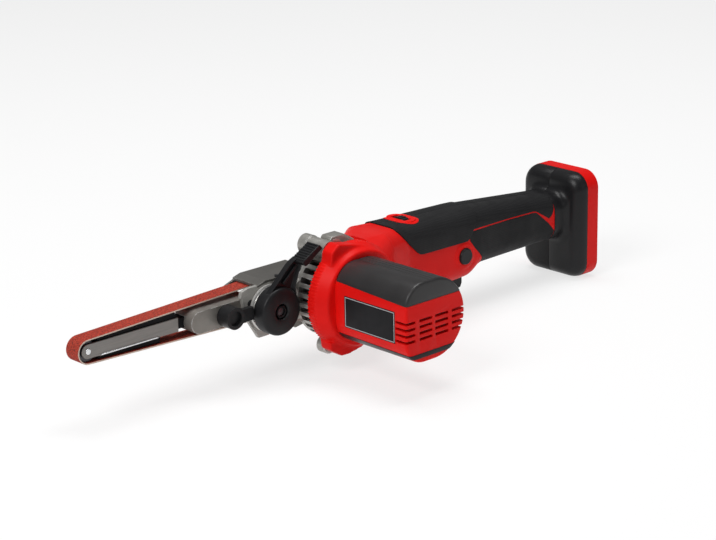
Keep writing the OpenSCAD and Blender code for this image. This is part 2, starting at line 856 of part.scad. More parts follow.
module armature() {
    color("peru") difference() {
        tube_y(armature_r, shaft_r, armature_y0, armature_y1);
        for (k = [0 : 11]) rotate([0, 30 * k, 0])
            box([armature_r - armature_slot, armature_y0 - 1, -0.8], [can_r, armature_y1 + 1, 0.8]);
    }
}

module commutator() {
    color("chocolate") tube_y(commutator_r, shaft_r, brush_y1 + free_gap, brush_y1 + brush_h + 1);
}

// Fan with straight blades between a hub and a back plate
module cooling_fan() {
    fan_y0 = collar_y1 + 1.5;
    color("dimgray") difference() {
        union() {
            rod_y(0, 0, fan_r, fan_y0, fan_y0 + 1.6);
            rod_y(0, 0, shaft_r + 3, fan_y0, fan_y0 + 9);
            for (k = [0 : 8]) rotate([0, 40 * k, 0])
                box([shaft_r + 2, fan_y0 + 1, -0.8], [fan_r - 0.5, fan_y0 + 8.4, 0.8]);
        }
        rod_y(0, 0, shaft_r, fan_y0 - 1, fan_y0 + 10);
    }
}

module drive_hub() {
    hub_r = drive_roller_r - tyre_thick;
    color("silver") {
        tube_y(hub_r, shaft_r, -roller_w / 2, roller_w / 2);
        tube_y(shaft_r + 1.8, shaft_r, bearing_y1 + free_gap, -roller_w / 2 + 1);
    }
}

module drive_tyre() {
    color("black") tube_y(drive_roller_r, drive_roller_r - tyre_thick, -roller_w / 2, roller_w / 2);
}

module roller_screw() {
    color("silver") {
        rod_y(0, 0, screw_r, roller_w / 2 - roller_screw_length, roller_w / 2 + 1);
        rod_y(0, 0, 7, roller_w / 2, roller_w / 2 + 1.4);
        difference() {
            rod_y(0, 0, 3.6, roller_w / 2 + 1.4, roller_w / 2 + 4.4);
            translate([0, roller_w / 2 + 5, 0]) rotate([90, 0, 0]) cylinder(r = 1.8, h = 2.6, $fn = 6);
        }
    }
}

// Side plate of the arm, with its hub ring on the spigot and the arc slot for the clamp bolt
module arm_bracket() {
    slot_a0 = clamp_angle - swivel_down;
    slot_a1 = clamp_angle + swivel_up;
    color("silver") difference() {
        union() {
            rod_y(0, 0, ring_r, ring_y0, arm_y1);
            along_y(arm_y0, arm_y1) polygon([[-12, guard_z], [guard_bend_x, guard_z],
                [guard_lip_x, guard_z - guard_drop], [-block_rear - 11.5, guard_z - 5.5],
                [-block_rear - 8.5, -5],
                [-clamp_x - 6, -25.5], [-clamp_x + 5, -25.5], [-12, -20]]);
        }
        rod_y(0, 0, spigot_r + run_fit, ring_y0 - 1, arm_y1 + 1);
        arc_band(clamp_ring, slot_half, slot_a0, slot_a1, arm_y0 - 1, arm_y1 + 1);
        for (z = [-block_screw_z, block_screw_z]) {
            rod_y(block_screw_x, z, screw_r + seat_fit, arm_y0 - 1, arm_y1 + 1);
            rod_y(block_screw_x, z, sunk_head_r + seat_fit, arm_y0 - 1, arm_y0 + sunk_head_t);
        }
    }
}

// Sheet over the belt, bent down at its front lip and along the open side
module belt_guard() {
    lip_z = guard_z - guard_drop;
    side_z = guard_z - 8;
    color("gray") difference() {
        union() {
            along_y(arm_y0, guard_side) polygon([[guard_rear_x, guard_z], [guard_bend_x, guard_z],
                [guard_lip_x, lip_z], [guard_lip_x, lip_z + guard_thick * 0.9],
                [guard_bend_x - 0.5, guard_z + guard_thick], [guard_rear_x, guard_z + guard_thick]]);
            along_y(guard_side - guard_thick, guard_side) polygon([[guard_rear_x - 5, guard_z + 0.5],
                [guard_bend_x, guard_z + 0.5], [guard_lip_x, lip_z + 0.5], [guard_lip_x - 8, guard_z - 4],
                [guard_lip_x - 8, side_z], [guard_rear_x - 5, side_z]]);
        }
        for (x = guard_screw_x) translate([x, (arm_y0 + arm_y1) / 2, guard_z - 1])
            cylinder(r = guard_screw_r + seat_fit, h = guard_thick + 2);
        rod_y(0, 0, ring_r + free_gap, ring_y0, arm_y1 + free_gap);
    }
}

module guard_screws() {
    color("dimgray") for (x = guard_screw_x) translate([x, (arm_y0 + arm_y1) / 2, guard_z]) {
        cylinder(r = guard_screw_r, h = guard_thick);
        translate([0, 0, guard_thick]) cylinder(r = arm_plate / 2, h = 1.4);
    }
}

// Outline of the guide block: round at the front, square at the rear
module block_outline() {
    translate([block_front + block_height / 2, 0]) circle(block_height / 2);
    translate([block_front + block_height / 2, -block_height / 2])
        square([block_length - block_height / 2, block_height]);
}

module guide_block() {
    color("lightgray") difference() {
        along_y(block_y0, block_y1) block_outline();
        box([block_front - 1, -channel_w / 2, -channel_h / 2], [channel_end, channel_w / 2, channel_h / 2]);
        rod_y(crank_x, 0, release_shaft_r + run_fit, block_y0 - 1, -channel_w / 2 + 1);
        for (z = [-block_screw_z, block_screw_z])
            rod_y(block_screw_x, z, screw_r + seat_fit, block_y0 - 1, block_y0 + 7);
    }
}

module block_screws() {
    color("dimgray") for (z = [-block_screw_z, block_screw_z]) {
        rod_y(block_screw_x, z, screw_r, arm_y0 + 1, block_y0 + 6);
        rod_y(block_screw_x, z, sunk_head_r, arm_y0 + 0.2, arm_y0 + sunk_head_t);
    }
}

module sanding_belt() {
    color("firebrick") along_y(-belt_width / 2, belt_width / 2) difference() {
        loop(belt_in_d + belt_thick, belt_in_n + belt_thick);
        loop(belt_in_d, belt_in_n);
    }
}

// Coil spring along X, as one tube of six sides on a helix
module tension_spring() {
    sides = 6;
    rings = spring_turns * 10;
    free = spring_length - 2 * spring_wire - 2 * seat_fit;
    points = [for (i = [0 : rings], k = [0 : sides - 1])
        let (t = i / rings, turn = 360 * spring_turns * t, a = 360 * k / sides,
            r = spring_r + spring_wire * cos(a))
        [tongue_end + spring_wire + seat_fit + free * t + spring_wire * sin(a),
            r * cos(turn), r * sin(turn)]];
    sheets = [for (i = [0 : rings - 1], k = [0 : sides - 1])
        let (n = (k + 1) % sides, p = i * sides)
        each [[p + k, p + n, p + sides + n], [p + k, p + sides + n, p + sides + k]]];
    caps = [[for (k = [sides - 1 : -1 : 0]) k], [for (k = [0 : sides - 1]) rings * sides + k]];
    color("silver") polyhedron(points, concat(sheets, caps));
}

// Black bar inside the belt that backs both runs and slides in the guide block
module arm_core() {
    front_x = nose_x + nose_roller_r + 1;
    front_z = loop_half(front_x, belt_in_d) - platen_gap;
    rear_z = loop_half(core_rear, belt_in_d) - platen_gap;
    notch = crank_pin_r + crank_slack + free_gap;
    color("black") difference() {
        along_y(-core_w / 2, core_w / 2)
            polygon([[front_x, front_z], [core_rear - 1.5, rear_z], [core_rear - 1.5, tongue_h / 2],
                [tongue_end, tongue_h / 2], [tongue_end, -tongue_h / 2], [core_rear - 14, -tongue_h / 2],
                [core_rear - 15, -rear_z + 0.4], [front_x, -front_z]]);
        box([crank_x - crank - notch, -core_w, -tongue_h],
            [crank_x - crank + notch, -0.7, crank_pin_r + free_gap]);
    }
}

// Side plate of the nose bar, round about the axle
module nose_plate(y0, y1) {
    along_y(y0, y1) difference() {
        union() {
            translate([nose_x, 0]) circle(bar_height / 2);
            translate([nose_x, -bar_height / 2]) square([core_rear - nose_x, bar_height]);
        }
        translate([nose_x, 0]) circle(axle_r);
    }
}

module nose_plate_near() {
    color("darkgray") {
        nose_plate(-core_w / 2 - bar_plate, -core_w / 2);
        box([nose_x + 8, -core_w / 2 - bar_plate - 0.5, -bar_height / 2],
            [core_rear - 16, -core_w / 2 - bar_plate / 2, -bar_height / 2 + 0.9]);
    }
}

module nose_plate_far() {
    color("darkgray") nose_plate(core_w / 2, core_w / 2 + bar_plate);
}

module nose_axle() {
    color("white") rod_y(nose_x, 0, axle_r, -core_w / 2 - bar_plate - 0.5, core_w / 2 + bar_plate + 0.5);
}

module nose_roller() {
    half = core_w / 2 - free_gap;
    color("silver") translate([nose_x, half, 0]) rotate([90, 0, 0]) rotate_extrude()
        polygon([[axle_r + run_fit, 0], [nose_roller_r - 0.4, 0], [nose_roller_r, 0.6],
            [nose_roller_r, 2 * half - 0.6], [nose_roller_r - 0.4, 2 * half], [axle_r + run_fit, 2 * half]]);
}

module clamp_bolt() {
    color("silver") {
        rod_y(-clamp_x, clamp_z, clamp_bolt_r, cap_y0 + 2, arm_y1 + free_gap);
        rod_y(-clamp_x, clamp_z, bolt_head_r, arm_y1 + free_gap, arm_y1 + free_gap + bolt_head_t);
    }
}

// Strap and ribbed thumb pad of the clamp lever, along X from its bolt
module lever_strap() {
    pad_x = lever_length - lever_pad;
    along_y(cap_y0 + 1.5, lever_y1)
        polygon([[0, cap_r - 0.2], [pad_x - 5, cap_r - 0.2], [pad_x + 2, cap_r - 2.5],
        [pad_x + 2, cap_r - 8], [cap_r + 2.5, 0.7], [cap_r - 4, -8], [0, -8]]);
    along_y(cap_y0 - 5.5, lever_y1)
        polygon([[pad_x, cap_r - 2.2], [lever_length, cap_r - 2.2 - lever_pad_slope],
        [lever_length, cap_r - 6 - lever_pad_slope], [pad_x, cap_r - 7]]);
    for (k = [0 : lever_ribs - 1]) {
        along = (k + 0.7) / lever_ribs;
        along_y(cap_y0 - 5, lever_y1 - 0.5)
            translate([pad_x + lever_pad * along, cap_r - 2.4 - lever_pad_slope * along])
                square([1.2, 1.8], center = true);
    }
}

// Cap of the swivel clamp with its lever
module clamp_lever() {
    color("black") difference() {
        union() {
            rod_y(-clamp_x, clamp_z, cap_r, cap_y0, cap_y1);
            translate([-clamp_x, 0, clamp_z]) rotate([0, -lever_angle, 0]) lever_strap();
        }
        rod_y(-clamp_x, clamp_z, clamp_bolt_r + run_fit, cap_y0 - 1, cap_y1 + 1);
        rod_y(-clamp_x, clamp_z, nut_recess_r, cap_y0 - 4, cap_y0 + 4);
    }
}

module clamp_nut() {
    color("dimgray") difference() {
        translate([-clamp_x, cap_y0 + 3.8, clamp_z]) rotate([90, 0, 0]) cylinder(r = 4.6, h = 3, $fn = 6);
        rod_y(-clamp_x, clamp_z, clamp_bolt_r + seat_fit, cap_y0 - 1, cap_y0 + 5);
    }
}

// Hub, bar, shaft and crank pin of the belt release
module release_lever() {
    color("black") {
        difference() {
            union() {
                rod_y(crank_x, 0, release_hub_r, release_hub_y0, block_y0 - free_gap);
                box([crank_x, release_hub_y0 + 0.6, -4.5], [release_bar_end, release_hub_y0 + 4.6, 4.5]);
            }
            rod_y(crank_x, 0, release_hub_r - release_rim, release_hub_y0 - 1, release_hub_y0 + 2.5);
        }
        rod_y(crank_x, 0, release_shaft_r, block_y0 - 1, -core_w / 2 - free_gap);
        rod_y(crank_x - crank, 0, crank_pin_r, -core_w / 2 - free_gap - 1, -1);
    }
}

// Lip that keeps the trigger inside the shells, grown on all sides, to a height above its underside
module trigger_flange(grow, height) {
    box([trigger_front - flange_lip - grow, -trigger_w / 2 - flange_lip - grow, flange_z - grow],
        [trigger_rear + flange_lip + grow, trigger_w / 2 + flange_lip + grow, flange_z + height + grow]);
}

module trigger() {
    low = belly_bottom - trigger_drop;
    color("black") {
        along_y(-trigger_w / 2, trigger_w / 2) polygon([[trigger_front, flange_z], [trigger_front, low + 6],
            [trigger_front + 3, low + 1], [trigger_front + 9, low + 1.6], [trigger_rear - 6, low],
            [trigger_rear - 1.5, low + 0.6], [trigger_rear, low + 4], [trigger_rear, flange_z]]);
        trigger_flange(0, flange_t);
    }
}

module lock_button() {
    color("black") {
        rod_y(button_x, button_z, button_r, button_near, -half_grip + 3.5);
        rod_y(button_x, button_z, button_r, half_grip - 3.5, button_far);
        rod_y(button_x, button_z, button_shaft_r, -half_grip + 3, half_grip - 3);
    }
}

module speed_dial() {
    color("black") {
        difference() {
            rod_x(0, dial_z, dial_r, dial_x - dial_w / 2, dial_x + dial_w / 2);
            for (k = [0 : 23]) translate([dial_x, 0, dial_z]) rotate([15 * k, 0, 0])
                box([-dial_w, -0.5, dial_r - 0.5], [dial_w, 0.5, dial_r + 1]);
        }
        rod_x(0, dial_z, dial_pin_r, dial_x, dial_x + 10);
    }
}

housing_near();
housing_far();
top_grip_near();
top_grip_far();
rear_grip_near();
rear_grip_far();
foot_rim();
battery_seat();
terminal_block();
terminals();
shell_screws();
motor_cover();
cover_top_pad();
cover_bottom_pad();
label_plate();
drive_bracket();
bearing_retainer();
retainer_screws();
tie_screws();
motor_can();
motor_magnets();
brush_plate();
carbon_brushes();
motor_end_cap();
front_bearing();
rear_bearing();
switch_body();
control_board();
speed_pot();
dial_bezel();
power_leads();
motor_shaft();
armature();
commutator();
cooling_fan();
drive_hub();
drive_tyre();
roller_screw();
arm_bracket();
belt_guard();
guard_screws();
guide_block();
block_screws();
sanding_belt();
tension_spring();
arm_core();
nose_plate_near();
nose_plate_far();
nose_axle();
nose_roller();
clamp_bolt();
clamp_lever();
clamp_nut();
release_lever();
trigger();
lock_button();
speed_dial();
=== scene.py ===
import math

import bmesh
import bpy
from mathutils import Matrix, Vector


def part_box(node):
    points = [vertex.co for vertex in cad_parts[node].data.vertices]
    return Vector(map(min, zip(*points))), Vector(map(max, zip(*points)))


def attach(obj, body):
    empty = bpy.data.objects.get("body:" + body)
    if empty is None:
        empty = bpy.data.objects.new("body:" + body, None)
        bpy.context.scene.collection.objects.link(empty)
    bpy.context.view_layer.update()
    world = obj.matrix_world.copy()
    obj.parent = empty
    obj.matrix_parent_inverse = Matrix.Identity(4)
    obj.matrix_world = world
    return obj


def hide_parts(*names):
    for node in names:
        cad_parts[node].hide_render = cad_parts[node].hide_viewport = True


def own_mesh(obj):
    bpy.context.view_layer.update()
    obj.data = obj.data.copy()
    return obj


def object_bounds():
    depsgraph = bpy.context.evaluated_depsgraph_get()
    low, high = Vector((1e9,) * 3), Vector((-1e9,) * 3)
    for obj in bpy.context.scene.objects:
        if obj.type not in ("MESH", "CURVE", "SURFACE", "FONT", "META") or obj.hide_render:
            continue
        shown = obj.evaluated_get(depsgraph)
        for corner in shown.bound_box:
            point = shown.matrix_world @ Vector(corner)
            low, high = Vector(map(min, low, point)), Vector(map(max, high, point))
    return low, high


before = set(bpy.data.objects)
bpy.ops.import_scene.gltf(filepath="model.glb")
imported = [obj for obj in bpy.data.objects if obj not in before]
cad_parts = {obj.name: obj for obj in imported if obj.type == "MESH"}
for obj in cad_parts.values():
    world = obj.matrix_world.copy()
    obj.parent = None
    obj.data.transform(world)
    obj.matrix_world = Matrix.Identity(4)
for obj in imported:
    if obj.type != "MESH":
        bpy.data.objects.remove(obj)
cad_low, cad_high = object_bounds()

# Lengths are in millimetres; a finished piece is scaled to metres
MM = 0.001
NEAR, FAR = -1, 1
SIDES = ((NEAR, "near"), (FAR, "far"))
# Half the gap between the shells, and the thickness of their walls
SEAM = 0.12
WALL = 3.4

# Cross sections of the handle: x, y low, y high, z low, z high, corner radius
HANDLE = [
    (44, -35.9, 14, -31, 29.6, 12),
    (72, -22, 19.5, -29, 26.2, 13),
    (140, -20, 20, -27, 24.2, 13),
    (151, -19.5, 19.5, -19.5, 23.5, 12),
    (214, -18.5, 18.5, -19, 18, 12),
    (246, -18.5, 18.5, -19, 15, 12),
]
# Middle of the dial's oval, half the length of its straight sides, and a height below all of it
DIAL_X, DIAL_REACH, DIAL_FLOOR = 86, 5, 15
# Axis of the lock button, and holes for the screws, in X and Z
LOCK_X, LOCK_Z = 130, -7
SHELL_SCREWS = [(60, -20), (112, 16), (146, -12), (180, -9), (222, -9)]
# The collar and the motor barrel lie across the handle, along Y
COLLAR_FAR, COLLAR_NEAR, COLLAR_RADIUS = -36.9, -52.9, 37
RIB_COUNT = 100
COVER_END = -120.9
# Section of the barrel: x low, x high, z low, z high, and the corner radius on each side
COVER = (-26, 28, -26.5, 28.5)
COVER_CORNER, COVER_ROUND = 17, 27.45
# Where the barrel's pads start, and the height of the top pad's edge at the collar and at the barrel's end
PAD_START = -53.6
PAD_EDGE = (18.0, 15.2)
# The bracket's drum, and the axis and angle of the clamp's lever
DRUM_FRONT, DRUM_RADIUS, DRUM_SLOTS = -19.88, 33, 30
CLAMP = (-54, 0, -2)
LEVER_ANGLE = 42.5
# Bosses that the collar is screwed to, above and below: x, z, radius, far end
BOSSES = [(-15.5, 33.4, 7.0, -11), (-17.5, -33.4, 6.0, -29)]
# Side outlines of the collar's ears
UPPER_EAR = [(-24.5, 27), (-23.2, 35.4), (-17, 40.1), (-11, 38.8), (-3, 37.2), (6, 35.2), (6, 27)]
LOWER_EAR = [(12, -27), (10, -32), (2, -37), (-9, -39), (-16.5, -38.7), (-26, -32.6), (-27, -27)]


# Finishes

def new_finish(name):
    material = bpy.data.materials.new(name)
    material.use_nodes = True
    tree = material.node_tree
    return material, tree, tree.nodes["Principled BSDF"]


def fill(tree, node, inputs):
    """Gives a node's inputs a value each, or the output of another node."""
    for key, value in inputs.items():
        if isinstance(value, bpy.types.NodeSocket):
            tree.links.new(value, node.inputs[key])
        else:
            node.inputs[key].default_value = value


def add_node(tree, kind, inputs=None, **settings):
    node = tree.nodes.new("ShaderNode" + kind)
    for key, value in settings.items():
        setattr(node, key, value)
    fill(tree, node, inputs or {})
    return node


def on_piece(tree):
    return add_node(tree, "TexCoord").outputs["Object"]


def stretched(tree, at, scale):
    return add_node(tree, "Mapping", {"Vector": at, "Scale": scale}).outputs["Vector"]


def noise(tree, at, scale, detail=4.0):
    inputs = {"Vector": at, "Scale": scale, "Detail": detail, "Roughness": 0.55}
    return add_node(tree, "TexNoise", inputs).outputs[0]


def cells(tree, at, scale, scatter=1.0):
    inputs = {"Vector": at, "Scale": scale, "Randomness": scatter}
    return add_node(tree, "TexVoronoi", inputs).outputs["Distance"]


def spread(tree, value, low, high, to_low=0.0, to_high=1.0):
    """Stretches the values from low to high over a new range."""
    inputs = {"Value": value, "From Min": low, "From Max": high, "To Min": to_low, "To Max": to_high}
    return add_node(tree, "MapRange", inputs).outputs[0]


def drift(tree, at, scale, to_low=0.0, to_high=1.0, detail=4.0):
    """Noise that fills a range."""
    return spread(tree, noise(tree, at, scale, detail), 0.3, 0.7, to_low, to_high)


def math_node(tree, kind, a, b):
    return add_node(tree, "Math", {0: a, 1: b}, operation=kind).outputs[0]


def blend_colour(tree, amount, first, second):
    inputs = {"Factor": amount}
    for socket, colour in ((6, first), (7, second)):
        inputs[socket] = (*colour, 1.0) if isinstance(colour, tuple) else colour
    return add_node(tree, "Mix", inputs, data_type="RGBA").outputs[2]


def relief(tree, height, strength, distance, under=None):
    inputs = {"Strength": strength, "Distance": distance, "Height": height}
    if under is not None:
        inputs["Normal"] = under
    return add_node(tree, "Bump", inputs).outputs["Normal"]


def axis_value(tree, source, axis):
    return add_node(tree, "SeparateXYZ", {0: source}).outputs[axis]


def edge_wear(tree, at, radius, patch):
    """One on rubbed edges, broken up by noise."""
    rounded = add_node(tree, "Bevel", {"Radius": radius}, samples=4).outputs[0]
    true_normal = add_node(tree, "NewGeometry").outputs["Normal"]
    dot = add_node(tree, "VectorMath", {0: rounded, 1: true_normal}, operation="DOT_PRODUCT")
    edge = spread(tree, dot.outputs["Value"], 0.995, 0.86)
    return math_node(tree, "MULTIPLY", edge, spread(tree, noise(tree, at, patch), 0.42, 0.62))


def set_look(tree, shader, colour, rough, normal, **levels):
    """Links a finish to its shader; the levels are its gloss or its share of metal."""
    names = {"gloss": "Specular IOR Level", "metal": "Metallic"}
    fill(tree, shader, {"Base Color": colour, "Roughness": rough, "Normal": normal})
    fill(tree, shader, {names[key]: value for key, value in levels.items()})


def moulded(name, dark, light, rough, grain=1500, depth=0.00004, rubbed=None, gloss=0.32):
    """Injection moulded plastic: slow tone drift, spark-eroded grain and slightly rubbed edges."""
    material, tree, shader = new_finish(name)
    at = on_piece(tree)
    colour = blend_colour(tree, drift(tree, at, 22), dark, light)
    if rubbed:
        wear = math_node(tree, "MULTIPLY", edge_wear(tree, at, 0.0006, 260), 0.55)
        colour = blend_colour(tree, wear, colour, rubbed)
    satin = drift(tree, at, 60, rough - 0.05, rough + 0.06)
    set_look(tree, shader, colour, satin, relief(tree, noise(tree, at, grain, 2), 0.35, depth), gloss=gloss)
    return material


def soft_grip(name):
    """Soft skin with rows of fine, slightly paler dots."""
    material, tree, shader = new_finish(name)
    at = on_piece(tree)
    dots = spread(tree, cells(tree, at, 760, 0.1), 0.25, 0.62, 1.0, 0.0)
    tone = blend_colour(tree, drift(tree, at, 26), (0.008, 0.008, 0.009), (0.013, 0.013, 0.014))
    colour = blend_colour(tree, math_node(tree, "MULTIPLY", dots, 0.5), tone, (0.02, 0.0205, 0.021))
    rough = drift(tree, at, 70, 0.52, 0.66)
    fine = relief(tree, noise(tree, at, 2600, 2), 0.2, 0.00003)
    set_look(tree, shader, colour, rough, relief(tree, dots, 0.5, 0.00014, fine), gloss=0.17)
    return material


def cast_metal(name, dark, light, rough, metal):
    """Blasted die casting with an uneven tone and polished edges."""
    material, tree, shader = new_finish(name)
    at = on_piece(tree)
    tone = blend_colour(tree, drift(tree, at, 34, detail=6), dark, light)
    colour = blend_colour(tree, edge_wear(tree, at, 0.0008, 300), tone, (0.86, 0.86, 0.87))
    uneven = drift(tree, at, 120, rough - 0.08, rough + 0.08)
    grit = relief(tree, noise(tree, at, 1900, 3), 0.45, 0.00008)
    dents = relief(tree, noise(tree, at, 130, 3), 0.16, 0.0004, grit)
    set_look(tree, shader, colour, uneven, dents, metal=metal)
    return material


def painted(name, dark, light, rough, chipped):
    """Stove paint on metal, with a light orange peel and bare edges."""
    material, tree, shader = new_finish(name)
    at = on_piece(tree)
    tone = blend_colour(tree, drift(tree, at, 28, detail=5), dark, light)
    colour = blend_colour(tree, edge_wear(tree, at, 0.0007, 340), tone, chipped)
    uneven = drift(tree, at, 90, rough - 0.06, rough + 0.07)
    fine = relief(tree, noise(tree, at, 2400, 2), 0.2, 0.00003)
    peel = relief(tree, noise(tree, at, 620, 2), 0.2, 0.00006, fine)
    set_look(tree, shader, colour, uneven, peel, metal=0.25)
    return material


def brushed(name, dark, light, rough, along, metal=1.0):
    """Metal with fine lines along one axis and small stains."""
    material, tree, shader = new_finish(name)
    at = on_piece(tree)
    lines = noise(tree, stretched(tree, at, along), 1.0, 3)
    stain = noise(tree, at, 55, 5)
    tone = blend_colour(tree, spread(tree, lines, 0.3, 0.7), dark, light)
    colour = blend_colour(tree, spread(tree, stain, 0.56, 0.8, 0.0, 0.45), tone, dark)
    uneven = spread(tree, lines, 0.3, 0.7, rough - 0.08, rough + 0.1)
    set_look(tree, shader, colour, uneven, relief(tree, lines, 0.22, 0.00004), metal=metal)
    return material


def grit_belt(name):
    """Sanding belt: bonded grains, and pale cloth on the cut edges."""
    material, tree, shader = new_finish(name)
    at = on_piece(tree)
    grains = cells(tree, at, 800)
    clump = noise(tree, at, 700, 3)
    tone = blend_colour(tree, spread(tree, grains, 0.16, 0.5), (0.035, 0.004, 0.003), (0.4, 0.043, 0.024))
    tone = blend_colour(tree, spread(tree, clump, 0.42, 0.66, 0.0, 0.75), tone, (0.22, 0.016, 0.008))
    faded = spread(tree, noise(tree, at, 9), 0.45, 0.75, 0.0, 0.25)
    tone = blend_colour(tree, faded, tone, (0.44, 0.11, 0.06))
    facing = add_node(tree, "NewGeometry").outputs["True Normal"]
    side = math_node(tree, "ABSOLUTE", axis_value(tree, facing, 1), 0.0)
    colour = blend_colour(tree, spread(tree, side, 0.6, 0.8), tone, (0.62, 0.5, 0.42))
    rough = spread(tree, grains, 0.1, 0.6, 0.72, 0.92)
    height = math_node(tree, "ADD", grains, math_node(tree, "MULTIPLY", clump, 0.8))
    set_look(tree, shader, colour, rough, relief(tree, height, 0.85, 0.0003), gloss=0.3)
    return material


def label_film(name, low, high):
    """Blank black film with a thin pale line round its edge."""
    material, tree, shader = new_finish(name)
    at = on_piece(tree)
    inset = None
    for axis in (1, 2):
        value = axis_value(tree, at, axis)
        for more, less in ((value, low[axis]), (high[axis], value)):
            gap = math_node(tree, "SUBTRACT", more, less)
            inset = gap if inset is None else math_node(tree, "MINIMUM", inset, gap)
    outer, inner = spread(tree, inset, 0.00045, 0.0006), spread(tree, inset, 0.0011, 0.00095)
    line = math_node(tree, "MULTIPLY", outer, inner)
    tone = blend_colour(tree, drift(tree, at, 40), (0.008, 0.008, 0.009), (0.014, 0.014, 0.016))
    colour = blend_colour(tree, line, tone, (0.42, 0.42, 0.43))
    rough = drift(tree, at, 180, 0.36, 0.5)
    set_look(tree, shader, colour, rough, relief(tree, noise(tree, at, 900, 2), 0.1, 0.00003), gloss=0.12)
    return material


# Building

def mesh_of(name, bm):
    mesh = bpy.data.meshes.new(name)
    bm.to_mesh(mesh)
    bm.free()
    return mesh


def placed(name, data):
    obj = bpy.data.objects.new(name, data)
    bpy.context.scene.collection.objects.link(obj)
    return obj


def piece(name, bm, finish, body, hides=(), sharp=32, in_mm=True):
    """A mesh on a body, in metres, smooth apart from its sharp edges; it hides the solids it stands for."""
    if in_mm:
        bmesh.ops.scale(bm, vec=(MM, MM, MM), verts=bm.verts)
    mesh = mesh_of(name, bm)
    mesh.materials.append(finish)
    mesh.polygons.foreach_set("use_smooth", [True] * len(mesh.polygons))
    mesh.set_sharp_from_angle(angle=math.radians(sharp))
    obj = placed(name, mesh)
    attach(obj, body)
    if hides:
        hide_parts(*hides)
    return obj


def soften(obj, width, segments=2, angle=35):
    mod = obj.modifiers.new("soft_edges", "BEVEL")
    mod.width = width * MM
    mod.segments = segments
    mod.limit_method = "ANGLE"
    mod.angle_limit = math.radians(angle)
    mod.miter_outer = "MITER_ARC"
    return obj


def thicken(obj, thickness):
    mod = obj.modifiers.new("wall", "SOLIDIFY")
    mod.thickness = thickness * MM
    mod.offset = -1
    mod.use_even_offset = True
    return obj


def welded_copy(node):
    """A CAD node's shape in metres, with its doubled points joined."""
    bm = bmesh.new()
    bm.from_mesh(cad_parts[node].data)
    bmesh.ops.remove_doubles(bm, verts=bm.verts, dist=0.000002)
    return bm


def merge_flat(bm):
    """Joins faces that lie in one plane."""
    bmesh.ops.dissolve_limit(bm, angle_limit=math.radians(0.6), verts=bm.verts, edges=bm.edges)
    return bm


def dressed(node, finish, body, width, segments=2):
    """A CAD node's own shape with merged faces and softened edges."""
    bm = merge_flat(welded_copy(node))
    obj = piece(node + "_part", bm, finish, body, (node,), in_mm=False)
    return soften(obj, width, segments) if width else obj


def cut_copy(node, cutters):
    """A CAD node's shape in millimetres, less some cutters."""
    bm = welded_copy(node)
    bmesh.ops.scale(bm, vec=(1 / MM, 1 / MM, 1 / MM), verts=bm.verts)
    return merge_flat(carved(bm, cutters))


def temp_object(bm):
    return placed("temporary", mesh_of("temporary", bm))


def settled(obj, *others):
    """The mesh that an object's modifiers give, as a bmesh; the objects are removed."""
    bpy.context.view_layer.update()
    shown = obj.evaluated_get(bpy.context.evaluated_depsgraph_get())
    bm = bmesh.new()
    bm.from_mesh(shown.to_mesh())
    shown.to_mesh_clear()
    for item in (obj, *others):
        mesh = item.data
        bpy.data.objects.remove(item)
        bpy.data.meshes.remove(mesh)
    return bm


def fused(bm, voxel, rounds):
    """Overlapping solids as one skin with soft junctions."""
    obj = temp_object(bm)
    mod = obj.modifiers.new("fuse", "REMESH")
    mod.mode = "VOXEL"
    mod.voxel_size = voxel
    bm = settled(obj)
    for _ in range(rounds):
        bmesh.ops.smooth_vert(bm, verts=bm.verts, factor=0.5,
                              use_axis_x=True, use_axis_y=True, use_axis_z=True)
    return bm


def carved(bm, cutters):
    """A solid less a list of cutters."""
    obj = temp_object(bm)
    tools = [temp_object(cutter) for cutter in cutters]
    for tool in tools:
        mod = obj.modifiers.new("cut", "BOOLEAN")
        mod.operation = "DIFFERENCE"
        mod.solver = "EXACT"
        mod.object = tool
    return settled(obj, *tools)


def add_box(bm, low, high):
    made = bmesh.ops.create_cube(bm, size=1.0)
    size = [h - l for l, h in zip(low, high)]
    bmesh.ops.scale(bm, vec=size, verts=made["verts"])
    bmesh.ops.translate(bm, vec=[(l + h) / 2 for l, h in zip(low, high)], verts=made["verts"])


def add_rod(bm, x, z, r0, r1, y0, y1, segments=64):
    """Round bar along Y, r0 at y0 and r1 at y1."""
    made = bmesh.ops.create_cone(bm, cap_ends=True, segments=segments, radius1=r0, radius2=r1,
                                 depth=y1 - y0)
    lying = Matrix.Translation((x, (y0 + y1) / 2, z)) @ Matrix.Rotation(math.radians(-90), 4, "X")
    bmesh.ops.transform(bm, matrix=lying, verts=made["verts"])
    return made["verts"]


def box_solid(low, high):
    bm = bmesh.new()
    add_box(bm, low, high)
    return bm


def rod_solid(x, z, r, y0, y1, segments):
    bm = bmesh.new()
    add_rod(bm, x, z, r, r, y0, y1, segments)
    return bm


def face_out(bm):
    bmesh.ops.recalc_face_normals(bm, faces=bm.faces)
    return bm


def everything(bm):
    return bm.verts[:] + bm.edges[:] + bm.faces[:]


def copied_round(bm, count):
    """Repeats a shape round the Y axis."""
    bmesh.ops.spin(bm, geom=everything(bm), cent=(0, 0, 0), axis=(0, 1, 0),
                   angle=math.tau * (count - 1) / count, steps=count - 1, use_duplicate=True)


def drop_faces(bm, unwanted):
    """Deletes the faces whose middle passes a test."""
    spare = [f for f in bm.faces if unwanted(f.calc_center_median())]
    bmesh.ops.delete(bm, geom=spare, context="FACES")


def pulled(bm, offset):
    """Pulls a flat face out into a solid."""
    made = bmesh.ops.extrude_face_region(bm, geom=bm.faces[:])
    moved = [v for v in made["geom"] if isinstance(v, bmesh.types.BMVert)]
    bmesh.ops.translate(bm, vec=offset, verts=moved)
    return face_out(bm)


